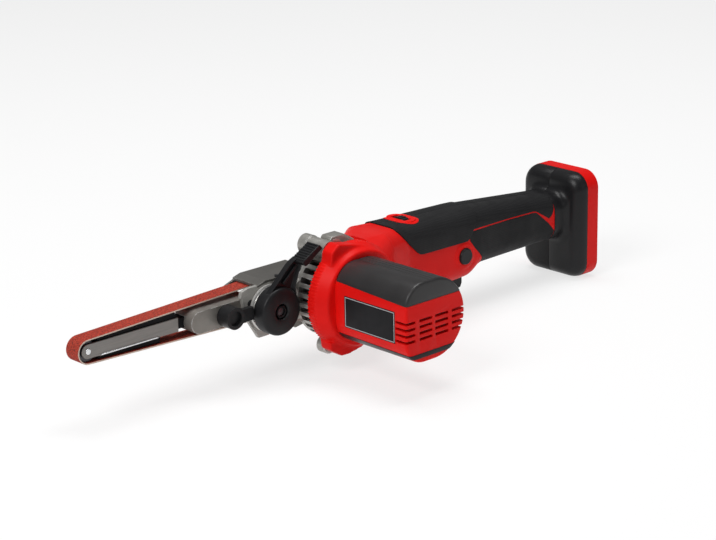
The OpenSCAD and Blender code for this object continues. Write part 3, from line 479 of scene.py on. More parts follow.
def extruded(bm, outline, y0, y1):
    """A slab from a side outline in X and Z; returns its near face."""
    face = bm.faces.new([bm.verts.new((x, y1, z)) for x, z in outline])
    made = bmesh.ops.extrude_face_region(bm, geom=[face])
    top = [f for f in made["geom"] if isinstance(f, bmesh.types.BMFace)][0]
    bmesh.ops.translate(bm, vec=(0, y0 - y1, 0), verts=top.verts)
    return top


def slab(outline, y0, y1):
    bm = bmesh.new()
    extruded(bm, outline, y0, y1)
    return face_out(bm)


def turned(profile, centre, steps=72):
    """A closed ring spun about a Y axis from radius and Y pairs."""
    bm = bmesh.new()
    verts = [bm.verts.new((r, y, 0)) for r, y in profile]
    edges = [bm.edges.new(pair) for pair in zip(verts, verts[1:] + verts[:1])]
    bmesh.ops.spin(bm, geom=verts + edges, cent=(0, 0, 0), axis=(0, 1, 0), angle=math.tau, steps=steps,
                   use_merge=True)
    bmesh.ops.remove_doubles(bm, verts=bm.verts, dist=0.0005)
    face_out(bm)
    bmesh.ops.translate(bm, vec=centre, verts=bm.verts)
    return bm


def rounded_face(bm, corners, radius, segments):
    """A four-cornered face with rounded corners; returns its outline."""
    known = set(bm.edges)
    face = bm.faces.new([bm.verts.new(c) for c in corners])
    bmesh.ops.bevel(bm, geom=face.verts[:], offset=radius, offset_type="OFFSET", segments=segments,
                    profile=0.5, affect="VERTICES", material=-1)
    return [e for e in bm.edges if e not in known]


def section_corners(s, inset):
    x, y0, y1, z0, z1 = s[0], s[1] + inset, s[2] - inset, s[3] + inset, s[4] - inset
    return [(x, y0, z0), (x, y1, z0), (x, y1, z1), (x, y0, z1)]


def lofted(bm, sections, inset=0.0, segments=9, capped=True):
    """A skin through cross sections, closed at both ends where it is capped."""
    loops = [rounded_face(bm, section_corners(s, inset), max(s[5] - inset, 2), segments) for s in sections]
    kept = {loops[0][0].link_faces[0], loops[-1][0].link_faces[0]} if capped else set()
    spare = [loop[0].link_faces[0] for loop in loops]
    bmesh.ops.delete(bm, geom=[f for f in spare if f not in kept], context="FACES_ONLY")
    for first, second in zip(loops, loops[1:]):
        bmesh.ops.bridge_loops(bm, edges=first + second)
    return face_out(bm)


def between(keys, x):
    """Row of a table at x, in a straight line between its neighbours."""
    if x <= keys[0][0]:
        return keys[0][1:]
    for a, b in zip(keys, keys[1:]):
        if x <= b[0]:
            t = (x - a[0]) / (b[0] - a[0])
            return tuple(p + (q - p) * t for p, q in zip(a[1:], b[1:]))
    return keys[-1][1:]


def handle_at(x):
    """Cross section of the handle at x, with its kinks rounded off over a few millimetres."""
    softness = 2.5
    steps = [between(HANDLE, x + softness * k / 4) for k in range(-4, 5)]
    return (x, *(sum(column) / len(steps) for column in zip(*steps)))


def handle_sections(x0, x1, step=3.0):
    count = max(2, round((x1 - x0) / step))
    return [handle_at(x0 + (x1 - x0) * k / count) for k in range(count + 1)]


def slice_at(bm, point, normal, keep_below=False):
    bmesh.ops.bisect_plane(bm, geom=everything(bm), dist=1e-5, plane_co=point, plane_no=normal,
                           clear_outer=keep_below)


def inside(outline, x, z):
    """Whether a point lies inside a side outline."""
    hit = False
    for (x0, z0), (x1, z1) in zip(outline, outline[1:] + outline[:1]):
        if (z0 > z) != (z1 > z) and x < x0 + (z - z0) * (x1 - x0) / (z1 - z0):
            hit = not hit
    return hit


def trimmed(bm, outline):
    """Cuts a skin along a side outline drawn in X and Z and keeps what lies inside it."""
    for (x0, z0), (x1, z1) in zip(outline, outline[1:] + outline[:1]):
        slice_at(bm, (x0, 0, z0), Vector((z1 - z0, 0, x0 - x1)).normalized())
    drop_faces(bm, lambda middle: not inside(outline, middle.x, middle.z))
    return bm


def half(bm, side):
    """Keeps one side of the parting line."""
    slice_at(bm, (0, side * SEAM, 0), (0, -side, 0), keep_below=True)
    return bm


# The red shells

def hull_to_handle(bm, ring, x, inset, radius, segments):
    """Joins a ring of the collar to the handle's first section."""
    known = set(bm.verts)
    rounded_face(bm, section_corners((x, *HANDLE[0][1:]), inset), radius, segments)
    end = [v for v in bm.verts if v not in known]
    bmesh.ops.convex_hull(bm, input=ring + end, use_existing_faces=False)


def collar_and_handle():
    bm = bmesh.new()
    lofted(bm, handle_sections(43, 243))
    lofted(bm, [(43.0, *HANDLE[0][1:]), (45.0, *HANDLE[0][1:])])
    ring = add_rod(bm, 0, 0, 31, 35, COLLAR_NEAR + 1, COLLAR_FAR)
    hull_to_handle(bm, ring, 44.5, 0.0, 12, 9)
    add_rod(bm, 0, 0, COLLAR_RADIUS, COLLAR_RADIUS, -43.9, COLLAR_FAR, 96)
    add_rod(bm, 0, 0, 32.7, COLLAR_RADIUS, COLLAR_NEAR, -43.4, 96)
    for ear in (UPPER_EAR, LOWER_EAR):
        extruded(bm, ear, -47.9, COLLAR_FAR - 0.3)
    add_rod(bm, LOCK_X, LOCK_Z, 9.2, 10.4, -21.2, -17, 40)
    add_rod(bm, LOCK_X, LOCK_Z, 10.4, 9.2, 17, 20.9, 40)
    return fused(face_out(bm), 0.9, 4)


def shell_space():
    """Room inside the shells."""
    bm = bmesh.new()
    lofted(bm, handle_sections(46, 252), WALL, 5)
    ring = add_rod(bm, 0, 0, 27.5, 31, COLLAR_NEAR + 4.4, COLLAR_FAR - WALL)
    hull_to_handle(bm, ring, 46.5, WALL, 9, 5)
    return fused(bm, 1.6, 2)


def cover_outline_solid(grow, y0, y1):
    """Barrel section from y1 to y0: flat with round corners on one side, half round on the other."""
    bm = bmesh.new()
    x0, x1, z0, z1 = (v + grow * d for v, d in zip(COVER, (-1, 1, -1, 1)))
    bm.faces.new([bm.verts.new(c) for c in ((x0, y1, z0), (x1, y1, z0), (x1, y1, z1), (x0, y1, z1))])
    for x, radius, segments in ((x0, COVER_CORNER + grow, 10), (x1, COVER_ROUND + grow, 16)):
        corners = [v for v in bm.verts if abs(v.co.x - x) < 0.01 and abs(v.co.z) > 20]
        bmesh.ops.bevel(bm, geom=corners, offset=radius, offset_type="OFFSET", segments=segments,
                        profile=0.5, affect="VERTICES", material=-1)
    return pulled(bm, (0, y0 - y1, 0))


def oval_solid(x, radius, reach, z0, z1):
    """Upright bar with an oval section that is longest along Y."""
    bm = bmesh.new()
    x0, x1, y = x - radius, x + radius, reach + radius
    rounded_face(bm, [(x0, -y, z0), (x1, -y, z0), (x1, y, z0), (x0, y, z0)], radius * 0.999, 12)
    return pulled(bm, (0, 0, z1 - z0))


def shell_cutters():
    """The room inside the shells and every opening in them."""
    drum = [rod_solid(0, 0, DRUM_RADIUS + 0.25, COLLAR_FAR, 80, 96),
            box_solid((-60, COLLAR_FAR, -60), (0, 80, 60)),
            box_solid((-30, COLLAR_FAR, 30), (20, 80, 60))]
    motor = [rod_solid(0, 0, DRUM_RADIUS + 0.1, -49.5, COLLAR_FAR + 0.5, 96),
             cover_outline_solid(0.2, -60, -40)]
    trigger = [box_solid((111.7, -6.3, -50), (142.3, 6.3, -20)),
               box_solid((110.1, -7.9, -23.4), (143.9, 7.9, -15))]
    lock = rod_solid(LOCK_X, LOCK_Z, 6.3, -40, 40, 48)
    dial = oval_solid(DIAL_X, 7.05, DIAL_REACH, 20.7, 60)
    screws = [rod_solid(x, z, 3.3, 9, 60, 24) for x, z in SHELL_SCREWS]
    return [shell_space(), *drum, *motor, *trigger, lock, dial, *screws]


def other_half(side):
    """Cutter for all that lies across the parting line."""
    low, high = (-SEAM, 200) if side == NEAR else (-200, SEAM)
    return box_solid((-100, low, -100), (300, high, 100))


def red_shells(red):
    whole = carved(collar_and_handle(), shell_cutters())
    for side, name in SIDES:
        bm = carved(whole.copy(), [other_half(side)])
        piece("shell_" + name, bm, red, "housing", ("housing_" + name,), 40)
    whole.free()


def collar_rib():
    """One rib, on top of the collar."""
    bm = box_solid((-0.55, -46.4, 35.2), (0.55, COLLAR_FAR - 0.4, 37.1))
    slice_at(bm, (0, -43.6, 0), (0, 1, 0))
    tip = [v for v in bm.verts if v.co.y < -46 and v.co.z > 36]
    bmesh.ops.translate(bm, vec=(0, 0, -1.6), verts=tip)
    crest = []
    for edge in bm.edges:
        first, second = (v.co for v in edge.verts)
        low, high = sorted((first.z, second.z))
        if abs(first.y - second.y) > 1 and low > 34.5 and high > 36:
            crest.append(edge)
    bmesh.ops.bevel(bm, geom=crest, offset=0.3, segments=2, profile=0.5, affect="EDGES", material=-1)
    return bm


def collar_ribs(red):
    """Fine ribs round the far edge of the collar, but not where the handle joins it."""
    bm = collar_rib()
    copied_round(bm, RIB_COUNT)
    spare = []
    for v in bm.verts:
        turn = round(math.atan2(v.co.x, v.co.z) / math.tau * RIB_COUNT) * math.tau / RIB_COUNT
        if math.sin(turn) > 1 / 3:
            spare.append(v)
    bmesh.ops.delete(bm, geom=spare, context="VERTS")
    return piece("collar_ribs", face_out(bm), red, "housing", sharp=40)


# Grips and foot

# Side outline of the front grip, and the red piping that shows between the panels of the rear grip
TOP_GRIP = [(61, 45), (62.3, 27), (65, 23.4), (75.5, 12), (81, 6.9), (83.5, 5.2), (87, 4.6), (128, 3.7),
            (132.5, 3.8), (135.6, 5.2), (147.3, 24), (150.5, 45)]
PIPING = [(180, 10.4), (206, 9.7), (209, 9.0)]
PIPING_GAP = 0.45


def grip_panels():
    """Side outlines of the rear grip's panels, above and below the piping."""
    upper = [(150.6, 45), (147.4, 24), (139.3, 10.9)]
    upper += [(x, z + PIPING_GAP) for x, z in PIPING]
    upper += [(222.8, 1.2), (226.2, 3.4), (228.4, 8), (229.4, 13.5), (229.6, 45)]
    lower = [(138.4, 9.7), (135.9, 5.4), (136.4, 2.6), (141, -3), (147, -9.4), (150.2, -13.4),
             (150.4, -16.4), (148.6, -20.5), (145.4, -24.4), (143.5, -45), (228.6, -45), (228.6, -9.4),
             (222.2, -2.2)]
    lower += [(x, z - PIPING_GAP) for x, z in reversed(PIPING)]
    return upper, lower


def grip_skin(name, side, outline, sections, finish, hides, opening=None):
    """Soft panel on one side of the handle; one with an opening stands further out."""
    proud = 1.0 if opening else 0.2
    bm = lofted(bmesh.new(), sections, -proud, 9, capped=False)
    trimmed(bm, outline)
    half(bm, side)
    if opening:
        opening(bm)
    obj = piece(name, bm, finish, "housing", hides, 50)
    return soften(thicken(obj, 1.3), 0.42, 3, 50)


def oval_distance(point):
    """Distance from the middle line of the dial's oval."""
    return math.hypot(point.x - DIAL_X, max(abs(point.y) - DIAL_REACH, 0))


def score_oval(bm, radius):
    """Cuts an oval round the dial into a skin, without taking anything away."""
    cuts = 24
    for k in range(cuts):
        t = math.tau * k / cuts
        end = math.copysign(DIAL_REACH, math.sin(t + 0.001))
        at = (DIAL_X + radius * math.cos(t), end + radius * math.sin(t), 0)
        middles = [(f, f.calc_center_median()) for f in bm.faces]
        near = [f for f, c in middles if c.z > DIAL_FLOOR and abs(c.x - DIAL_X) < 13]
        edges = list(dict.fromkeys(e for f in near for e in f.edges))
        verts = list(dict.fromkeys(v for f in near for v in f.verts))
        bmesh.ops.bisect_plane(bm, geom=verts + edges + near, dist=1e-5, plane_co=at,
                               plane_no=(math.cos(t), math.sin(t), 0))


def dial_opening(bm):
    """Leaves out the oval of the dial's bezel."""
    score_oval(bm, 7.25)
    drop_faces(bm, lambda middle: middle.z > DIAL_FLOOR and oval_distance(middle) < 7.2)


def dial_flange(red):
    """Broad red lip round the dial, which follows the handle's top."""
    bm = lofted(bmesh.new(), handle_sections(70, 102, 2.0), -1.25, 9, capped=False)
    for radius in (9.3, 6.6):
        score_oval(bm, radius)
    drop_faces(bm, lambda middle: middle.z < DIAL_FLOOR or not 6.6 < oval_distance(middle) < 9.25)
    obj = piece("dial_flange", bm, red, "housing", sharp=50)
    return soften(thicken(obj, 1.8), 0.5, 3, 50)


def grips(finish):
    sections = handle_sections(44, 231, 2.5)
    upper, lower = grip_panels()
    for side, name in SIDES:
        front, rear = ("top_grip_" + name,), ("rear_grip_" + name,)
        grip_skin("front_grip_" + name, side, TOP_GRIP, sections, finish, front, dial_opening)
        grip_skin("rear_grip_upper_" + name, side, upper, sections, finish, rear)
        grip_skin("rear_grip_lower_" + name, side, lower, sections, finish, ())


def foot_sections():
    """The foot swells out of the handle with a hollow curve and turns into a block with round edges."""
    neck = 18.95
    made = [(229.2, -neck, neck, -19.4, 16.95, 12.2), (234, -neck, neck, -19.4, 16.45, 12.2)]
    for k in range(8):
        t = math.radians(90 * k / 7)
        x, out = 237.2 + 6 * math.sin(t), 1 - math.cos(t)
        side, drop = neck + 2.3 * out, 0.35 + 6 * out
        made.append((x, -side, side, -19 - drop, 15.6 + drop, 12.2 - 1.5 * out))
    for k in range(9):
        t = math.radians(90 * k / 8)
        x, out = 254 - 10.6 * math.cos(t), 8.3 * math.sin(t)
        made.append((x, -21.6 - out, 21.6 + out, -43.1 - out, 23.1 + out, 8.5 + 0.54 * out))
    return made


def foot_block(finish):
    """Two covers that meet at the parting line."""
    for side, name in SIDES:
        bm = lofted(bmesh.new(), foot_sections(), 0.0, 9, capped=False)
        half(bm, side)
        obj = piece("foot_cover_" + name, bm, finish, "housing", sharp=60)
        soften(thicken(obj, 2.4), 0.3, 2, 60)


# Motor barrel

def barrel_form(grow, y1, end, rounding):
    """The barrel from y1 to its rounded end."""
    bm = cover_outline_solid(grow, end, y1)
    edges = [e for e in bm.edges if all(abs(v.co.y - end) < 0.01 for v in e.verts)]
    bmesh.ops.bevel(bm, geom=edges, offset=rounding, offset_type="OFFSET", segments=7, profile=0.5,
                    affect="EDGES", clamp_overlap=True, material=-1)
    return face_out(bm)


def louvre_cutters():
    """Four rows of slots, two slots in the barrel's end and one round each side of it."""
    cutters = []
    for row in range(4):
        z0 = -10.6 + 4.25 * row
        for x0, x1, y1 in ((-14, -2.2, -115), (0.4, 12.4, -115), (-30, -17.6, -110.5), (15.6, 34, -110.5)):
            cutters.append(box_solid((x0, COVER_END - 2, z0), (x1, y1, z0 + 1.9)))
    return cutters


def motor_barrel(red):
    inner = cover_outline_solid(-WALL, COVER_END + WALL, -40)
    recess = box_solid((-40, -110.1, -12.2), (-25.1, -61.7, 9.8))
    lid = box_solid((-60, COVER_END - 5, 0), (60, COLLAR_NEAR + 0.4, 60))
    for v in lid.verts:
        if v.co.z < 1:
            v.co.z = pad_height(PAD_EDGE, v.co.y) - 0.3
    form = barrel_form(0, -46.5, COVER_END + 0.25, 5.6)
    bm = carved(form, [inner, recess, lid] + louvre_cutters())
    obj = piece("motor_barrel", bm, red, "housing", ("motor_cover",), 30)
    return soften(obj, 0.35, 2, 40)


def pad_height(edge, y):
    """Height of a pad's lower edge, which slopes from the collar to the barrel's end."""
    return edge[0] + (edge[1] - edge[0]) * (y - COLLAR_NEAR) / (COVER_END - COLLAR_NEAR)


def pad_plane(edge):
    """Point and upward normal of the plane of a pad's lower edge."""
    slope = (edge[0] - edge[1]) / (COLLAR_NEAR - COVER_END)
    return (0, COLLAR_NEAR, edge[0]), Vector((0, -slope, 1)).normalized()


def pad_form(grow, end, rounding):
    """Skin of the barrel, open towards the collar."""
    bm = barrel_form(grow, PAD_START, end, rounding)
    bmesh.ops.delete(bm, geom=[f for f in bm.faces if f.normal.y > 0.9], context="FACES")
    return bm


def top_pad(finish):
    """Pad on the barrel, with three fine grooves along it."""
    bm = pad_form(0.3, COVER_END + 0.3, 8.5)
    point, up = pad_plane(PAD_EDGE)
    slice_at(bm, point, -up, keep_below=True)
    for x in (-4.4, -1.0, 2.4):
        for step in (-0.4, 0, 0.4):
            slice_at(bm, (x + step, 0, 0), (1, 0, 0))
        groove = [v for v in bm.verts if abs(v.co.x - x) < 0.01 and v.co.z > 20 and v.co.y > -113]
        bmesh.ops.translate(bm, vec=(0, 0, -0.45), verts=groove)
    obj = piece("barrel_top_pad", bm, finish, "housing", ("cover_top_pad",), 38)
    return soften(thicken(obj, 1.5), 0.4, 3, 55)


def lower_strip(finish):
    """Strip along the barrel's lower corner."""
    bm = pad_form(0.25, COVER_END, 5.6)
    slice_at(bm, *pad_plane((-18.6, -19.4)), keep_below=True)
    point, up = pad_plane((-24.4, -22.6))
    slice_at(bm, point, -up, keep_below=True)
    obj = piece("barrel_lower_strip", bm, finish, "housing", ("cover_bottom_pad",), 38)
    return soften(thicken(obj, 1.3), 0.3, 2, 55)


# Swivel clamp

def lever_matrix():
    """From the lever's own axes, with its strap along X, to its place at rest."""
    return Matrix.Translation(CLAMP) @ Matrix.Rotation(math.radians(-LEVER_ANGLE), 4, "Y")


def clamp_handle(finish):
    """Strap with a sunk channel and a ribbed thumb pad, tangent to the cap."""
    bm = bmesh.new()
    strap = [(-2, 16.2), (14, 16.3), (27, 16.2), (31, 15.6), (35, 14.2), (35, 8.6), (27, 5.0), (19, 0.9),
             (13.5, -7.5), (6, -8)]
    face = extruded(bm, strap, -29.9, -24.9)
    face_out(bm)
    bmesh.ops.inset_region(bm, faces=[face], thickness=2.0, depth=0.0, use_even_offset=True)
    bmesh.ops.translate(bm, vec=(0, 2.4, 0), verts=face.verts)
    rail = [(15, 12.2), (31, 11.6), (31, 10.2), (15, 10.2)]
    extruded(bm, rail, -29.6, -26.5)
    pad = [(32.2, 14.2), (34.5, 13.9), (49.2, 10.6), (50.0, 9.8), (50.0, 7.2), (49.0, 6.6), (33.5, 9.2),
           (32.2, 10)]
    extruded(bm, pad, -36.8, -24.9)
    ribs = 8
    for k in range(ribs):
        along = (k + 0.55) / ribs
        x, z = 33 + 16.6 * along, 14.3 - 3.75 * along
        add_box(bm, (x - 0.55, -36.3, z - 1.6), (x + 0.55, -25.4, z + 0.62))
    face_out(bm)
    bmesh.ops.transform(bm, matrix=lever_matrix(), verts=bm.verts)
    obj = piece("clamp_handle", bm, finish, "clamp_lever", sharp=40)
    return soften(obj, 0.4, 3, 40)


def clamp_cap(finish):
    """Round cap with a stepped face and a sunk hole for its nut."""
    profile = [(3.05, -27.2), (5.35, -27.2), (5.35, -30.4), (5.9, -31.1), (7.0, -31.35), (14.6, -31.35),
               (15.4, -31.1), (16.1, -30.5), (16.5, -29.6), (16.5, -21.2), (15.9, -20.5), (3.05, -20.5)]
    bm = turned(profile, CLAMP)
    return piece("clamp_cap", bm, finish, "clamp_lever", ("clamp_lever",))


# Bracket and arm

def wide_slots():
    """Cutter for the slots between the drum's ribs."""
    bm = box_solid((28.2, -35.2, -2.0), (36, -23.2, 2.0))
    copied_round(bm, DRUM_SLOTS)
    return face_out(bm)


def beside_drum(low, high):
    """A box less the drum, so that a cut with it leaves the drum whole."""
    return carved(box_solid(low, high), [rod_solid(0, 0, DRUM_RADIUS + 0.02, -60, DRUM_FRONT, 96)])


def vented_bracket(finish):
    """The casting's drum; its bosses and its lug are pieces of their own."""
    lower_boss = beside_drum((-17, -36.7, -44), (-4.2, 40, -28))
    upper_boss = beside_drum((-17, -36.7, 28), (-4.2, 40, 44))
    lug = beside_drum((-5, -36.7, 24), (17, -10, 44))
    bm = cut_copy("drive_bracket", [lower_boss, upper_boss, lug, wide_slots()])
    obj = piece("vented_bracket", bm, finish, "housing", ("drive_bracket",))
    return soften(obj, 0.3)


def bracket_lug(finish):
    """Lug on top of the drum, sloped towards the handle."""
    outline = [(-9, 30.5), (-9, 38.2), (-7.4, 39.8), (3.4, 39.8), (6.4, 38.2), (12.6, 34.2), (14.6, 29.2)]
    bm = slab(outline, -30.6, -20.4)
    soften(piece("bracket_lug", bm, finish, "housing"), 0.5, 3)


def drum_shoulder(finish):
    """Turned shoulder of the drum beside the collar."""
    profile = [(31.5, -36.7), (34.9, -36.7), (34.9, -35.7), (34.5, -35.3), (31.5, -35.3)]
    bm = carved(turned(profile, (0, 0, 0), 96), [box_solid((14, -60, -60), (60, 0, 60))])
    piece("drum_shoulder", bm, finish, "housing")


def boss_profile(radius, far_end):
    """Outline of a stepped boss with a sunk seat for its screw's head."""
    hole, start, seat = 2.05, -37.1, far_end - 3.2
    return [(hole, start), (radius - 0.6, start), (radius - 0.6, far_end - 8.4), (radius, far_end - 7.8),
            (radius, far_end - 0.9), (radius - 0.9, far_end), (4.2, far_end), (3.9, far_end - 0.3),
            (3.9, seat), (hole, seat)]


def screw_profile(far_end):
    """Outline of a screw with a round socket in its head."""
    tip, seat = -45, far_end - 3.15
    return [(1.7, seat + 0.9), (1.7, seat + 2.8), (3.2, seat + 2.8), (3.7, seat + 2.3), (3.7, seat),
            (1.95, seat), (1.95, tip), (0.05, tip), (0.05, seat + 0.9)]


def bracket_bosses(finish, dark):
    for (x, z, radius, far_end), name in zip(BOSSES, ("upper", "lower")):
        boss = turned(boss_profile(radius, far_end), (x, 0, z), 64)
        piece(name + "_boss", boss, finish, "housing")
        screw = turned(screw_profile(far_end), (x, 0, z), 40)
        hides = ("tie_screws",) if name == "upper" else ()
        piece(name + "_tie_screw", screw, dark, "housing", hides)


def clamp_seat(finish):
    """Stepped disc of the casting behind the clamp's cap."""
    profile = [(3.06, -16.36), (15.6, -16.36), (16.3, -16.9), (16.3, -18.1), (15.7, -18.5), (14.9, -18.7),
               (14.9, -19.6), (14.4, -20.0), (3.06, -20.0)]
    return piece("clamp_seat", turned(profile, CLAMP), finish, "housing", sharp=28)


def arm_side_plate(finish):
    """The arm's plate, less its lower tip."""
    bm = cut_copy("arm_bracket", [box_solid((-80, -30, -40), (-30, 0, -21.8))])
    obj = piece("arm_side_plate", bm, finish, "arm", ("arm_bracket",))
    return soften(obj, 0.45)


def arm_cheek(finish):
    """Web of the arm's side plate in front of the guard."""
    outline = [(-62.3, 12.6), (-62.3, 15.0), (-70, 15.0), (-75.8, 13.6), (-77, 9.0), (-75, 8.4)]
    bm = slab(outline, -15.98, -13.3)
    return soften(piece("arm_cheek", bm, finish, "arm"), 0.3)


def plate_lip(finish):
    """Bent edge along the bottom of the near nose plate; the pale finish it is given is a painted
    highlight.
    """
    bm = slab([(-184.6, -4.75), (-138, -4.75), (-139.6, -3.85), (-183.6, -3.85)], -6.28, -5.5)
    return soften(piece("nose_plate_lip", bm, finish, "nose_bar"), 0.15)


# Spring

def coil_spring(finish):
    """Six turns of wire along X; the real spring shortens as the nose bar slides, but this piece keeps one
    length.
    """
    turns, steps, length = 6, 144, 15.4
    bm = bmesh.new()
    wire = bmesh.ops.create_circle(bm, cap_ends=False, segments=10, radius=0.45)["verts"]
    bmesh.ops.translate(bm, vec=(2.6, 0, 0), verts=wire)
    bmesh.ops.rotate(bm, cent=(0, 0, 0), matrix=Matrix.Rotation(math.radians(90), 3, "X"), verts=wire)
    bmesh.ops.spin(bm, geom=bm.verts[:] + bm.edges[:], cent=(0, 0, 0), axis=(0, 0, 1),
                   dvec=(0, 0, length / steps), angle=math.tau * turns, steps=steps)
    bmesh.ops.holes_fill(bm, edges=[e for e in bm.edges if e.is_boundary], sides=12)
    face_out(bm)
    lying = Matrix.Translation((-83.9, 0, 0)) @ Matrix.Rotation(math.radians(90), 4, "Y")
    bmesh.ops.transform(bm, matrix=lying, verts=bm.verts)
    obj = piece("belt_spring", bm, finish, "arm", ("tension_spring",), 60)
    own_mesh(obj)
    return obj


# Stage

# The camera fitted to the photograph: place in metres, degrees round, up and rolled, and the focal length
# and the picture's width in pixels
CAMERA_PLACE = (-0.9094, -1.04, 0.4481)
CAMERA_DEGREES = (-42.5, 17.7, 1.2)
FOCAL_PIXELS, WIDTH_PIXELS = 2100, 716


def set_camera():
    data = bpy.data.cameras.new("photo_camera")
    data.sensor_width = 36
    data.lens = data.sensor_width * FOCAL_PIXELS / WIDTH_PIXELS
    data.clip_start, data.clip_end = 0.05, 40
    turn, tilt, roll = (math.radians(d) for d in CAMERA_DEGREES)
    right = Vector((math.cos(turn), math.sin(turn), 0))
    back = Vector((math.sin(turn) * math.cos(tilt), -math.cos(turn) * math.cos(tilt), math.sin(tilt)))
    up = back.cross(right)
    right, up = (math.cos(roll) * right - math.sin(roll) * up,
                 math.sin(roll) * right + math.cos(roll) * up)
    facing = Matrix((right, up, back)).transposed().to_4x4()
    camera = placed("photo_camera", data)
    camera.matrix_world = Matrix.Translation(CAMERA_PLACE) @ facing
    bpy.context.scene.camera = camera


def seen_directly(tree):
    """One for camera, mirror and glass rays."""
    path = add_node(tree, "LightPath").outputs
    either = math_node(tree, "MAXIMUM", path["Is Camera Ray"], path["Is Glossy Ray"])
    return math_node(tree, "MAXIMUM", either, path["Is Transmission Ray"])


def pale_floor(name):
    """White floor, with a glow where it is seen directly."""
    material, tree, shader = new_finish(name)
    colour = blend_colour(tree, noise(tree, on_piece(tree), 2), (0.84, 0.84, 0.84), (0.88, 0.88, 0.88))
    fill(tree, shader, {"Base Color": colour, "Roughness": 0.9, "Specular IOR Level": 0.1})
    glow = add_node(tree, "Emission", {"Strength": 1.0})
    amount = math_node(tree, "MULTIPLY", seen_directly(tree), 0.72)
    mix = add_node(tree, "MixShader", {0: amount, 1: shader.outputs[0], 2: glow.outputs[0]})
    fill(tree, tree.nodes["Material Output"], {"Surface": mix.outputs[0]})
    return material


def set_floor():
    bm = bmesh.new()
    bmesh.ops.create_grid(bm, x_segments=2, y_segments=2, size=12)
    bmesh.ops.translate(bm, vec=(0, 0, cad_low[2] - 0.0004), verts=bm.verts)
    floor = placed("floor", mesh_of("floor", bm))
    floor.data.materials.append(pale_floor("pale_floor"))


def soft_box(name, place, aim, size, power):
    data = bpy.data.lights.new(name, "AREA")
    data.shape = "RECTANGLE"
    data.size, data.size_y = size
    data.energy = power
    lamp = placed(name, data)
    lamp.location = place
    lamp.rotation_euler = (Vector(aim) - Vector(place)).to_track_quat("-Z", "Y").to_euler()


def set_light():
    world = bpy.data.worlds.new("studio")
    bpy.context.scene.world = world
    world.use_nodes = True
    sky = world.node_tree.nodes["Background"]
    sky.inputs["Color"].default_value = (1, 1, 1, 1)
    sky.inputs["Strength"].default_value = 0.19
    middle = (0.03, -0.03, 0)
    soft_box("key", (-1.5, -0.3, 1.4), middle, (0.9, 0.9), 24)
    soft_box("front", (0.5, -1.7, 0.7), middle, (1.0, 0.6), 1.2)
    soft_box("top", (0.25, 0.1, 1.8), middle, (1.4, 0.7), 25)
    bpy.context.scene.view_settings.view_transform = "Standard"


# The object

def hidden_finishes():
    """Finishes of the pieces inside the housing, each with its nodes."""
    return (
        (brushed("zinc_sheet", (0.4, 0.41, 0.43), (0.56, 0.57, 0.59), 0.34, (500, 40, 500)),
         ("motor_can",)),
        (cast_metal("ground_ferrite", (0.06, 0.06, 0.065), (0.12, 0.12, 0.13), 0.55, 0.2),
         ("motor_magnets",)),
        (moulded("paper_board", (0.36, 0.21, 0.09), (0.48, 0.31, 0.14), 0.62), ("brush_plate",)),
        (moulded("brush_carbon", (0.03, 0.03, 0.032), (0.06, 0.06, 0.065), 0.5), ("carbon_brushes",)),
        (moulded("board_lacquer", (0.02, 0.14, 0.05), (0.04, 0.22, 0.08), 0.3), ("control_board",)),
        (moulded("dial_case_blue", (0.03, 0.07, 0.24), (0.05, 0.11, 0.34), 0.35), ("speed_pot",)),
        (moulded("wire_sleeve", (0.38, 0.015, 0.015), (0.5, 0.025, 0.02), 0.5), ("power_leads",)),
        (brushed("lacquered_laminations", (0.14, 0.11, 0.08), (0.28, 0.22, 0.17), 0.5, (60, 3000, 60)),
         ("armature",)),
        (brushed("turned_copper", (0.6, 0.28, 0.15), (0.78, 0.42, 0.26), 0.3, (300, 60, 300)),
         ("commutator",)),
        (moulded("inner_black", (0.012, 0.012, 0.013), (0.022, 0.022, 0.023), 0.5),
         ("cooling_fan", "switch_body", "motor_end_cap")),
        (brushed("ground_steel", (0.5, 0.51, 0.53), (0.72, 0.73, 0.75), 0.25, (200, 900, 200)),
         ("motor_shaft", "front_bearing", "rear_bearing")),
    )


def dress_hidden():
    """The pieces inside the housing keep their CAD shapes."""
    for finish, nodes in hidden_finishes():
        for node in nodes:
            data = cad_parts[node].data
            data.materials.clear()
            data.materials.append(finish)


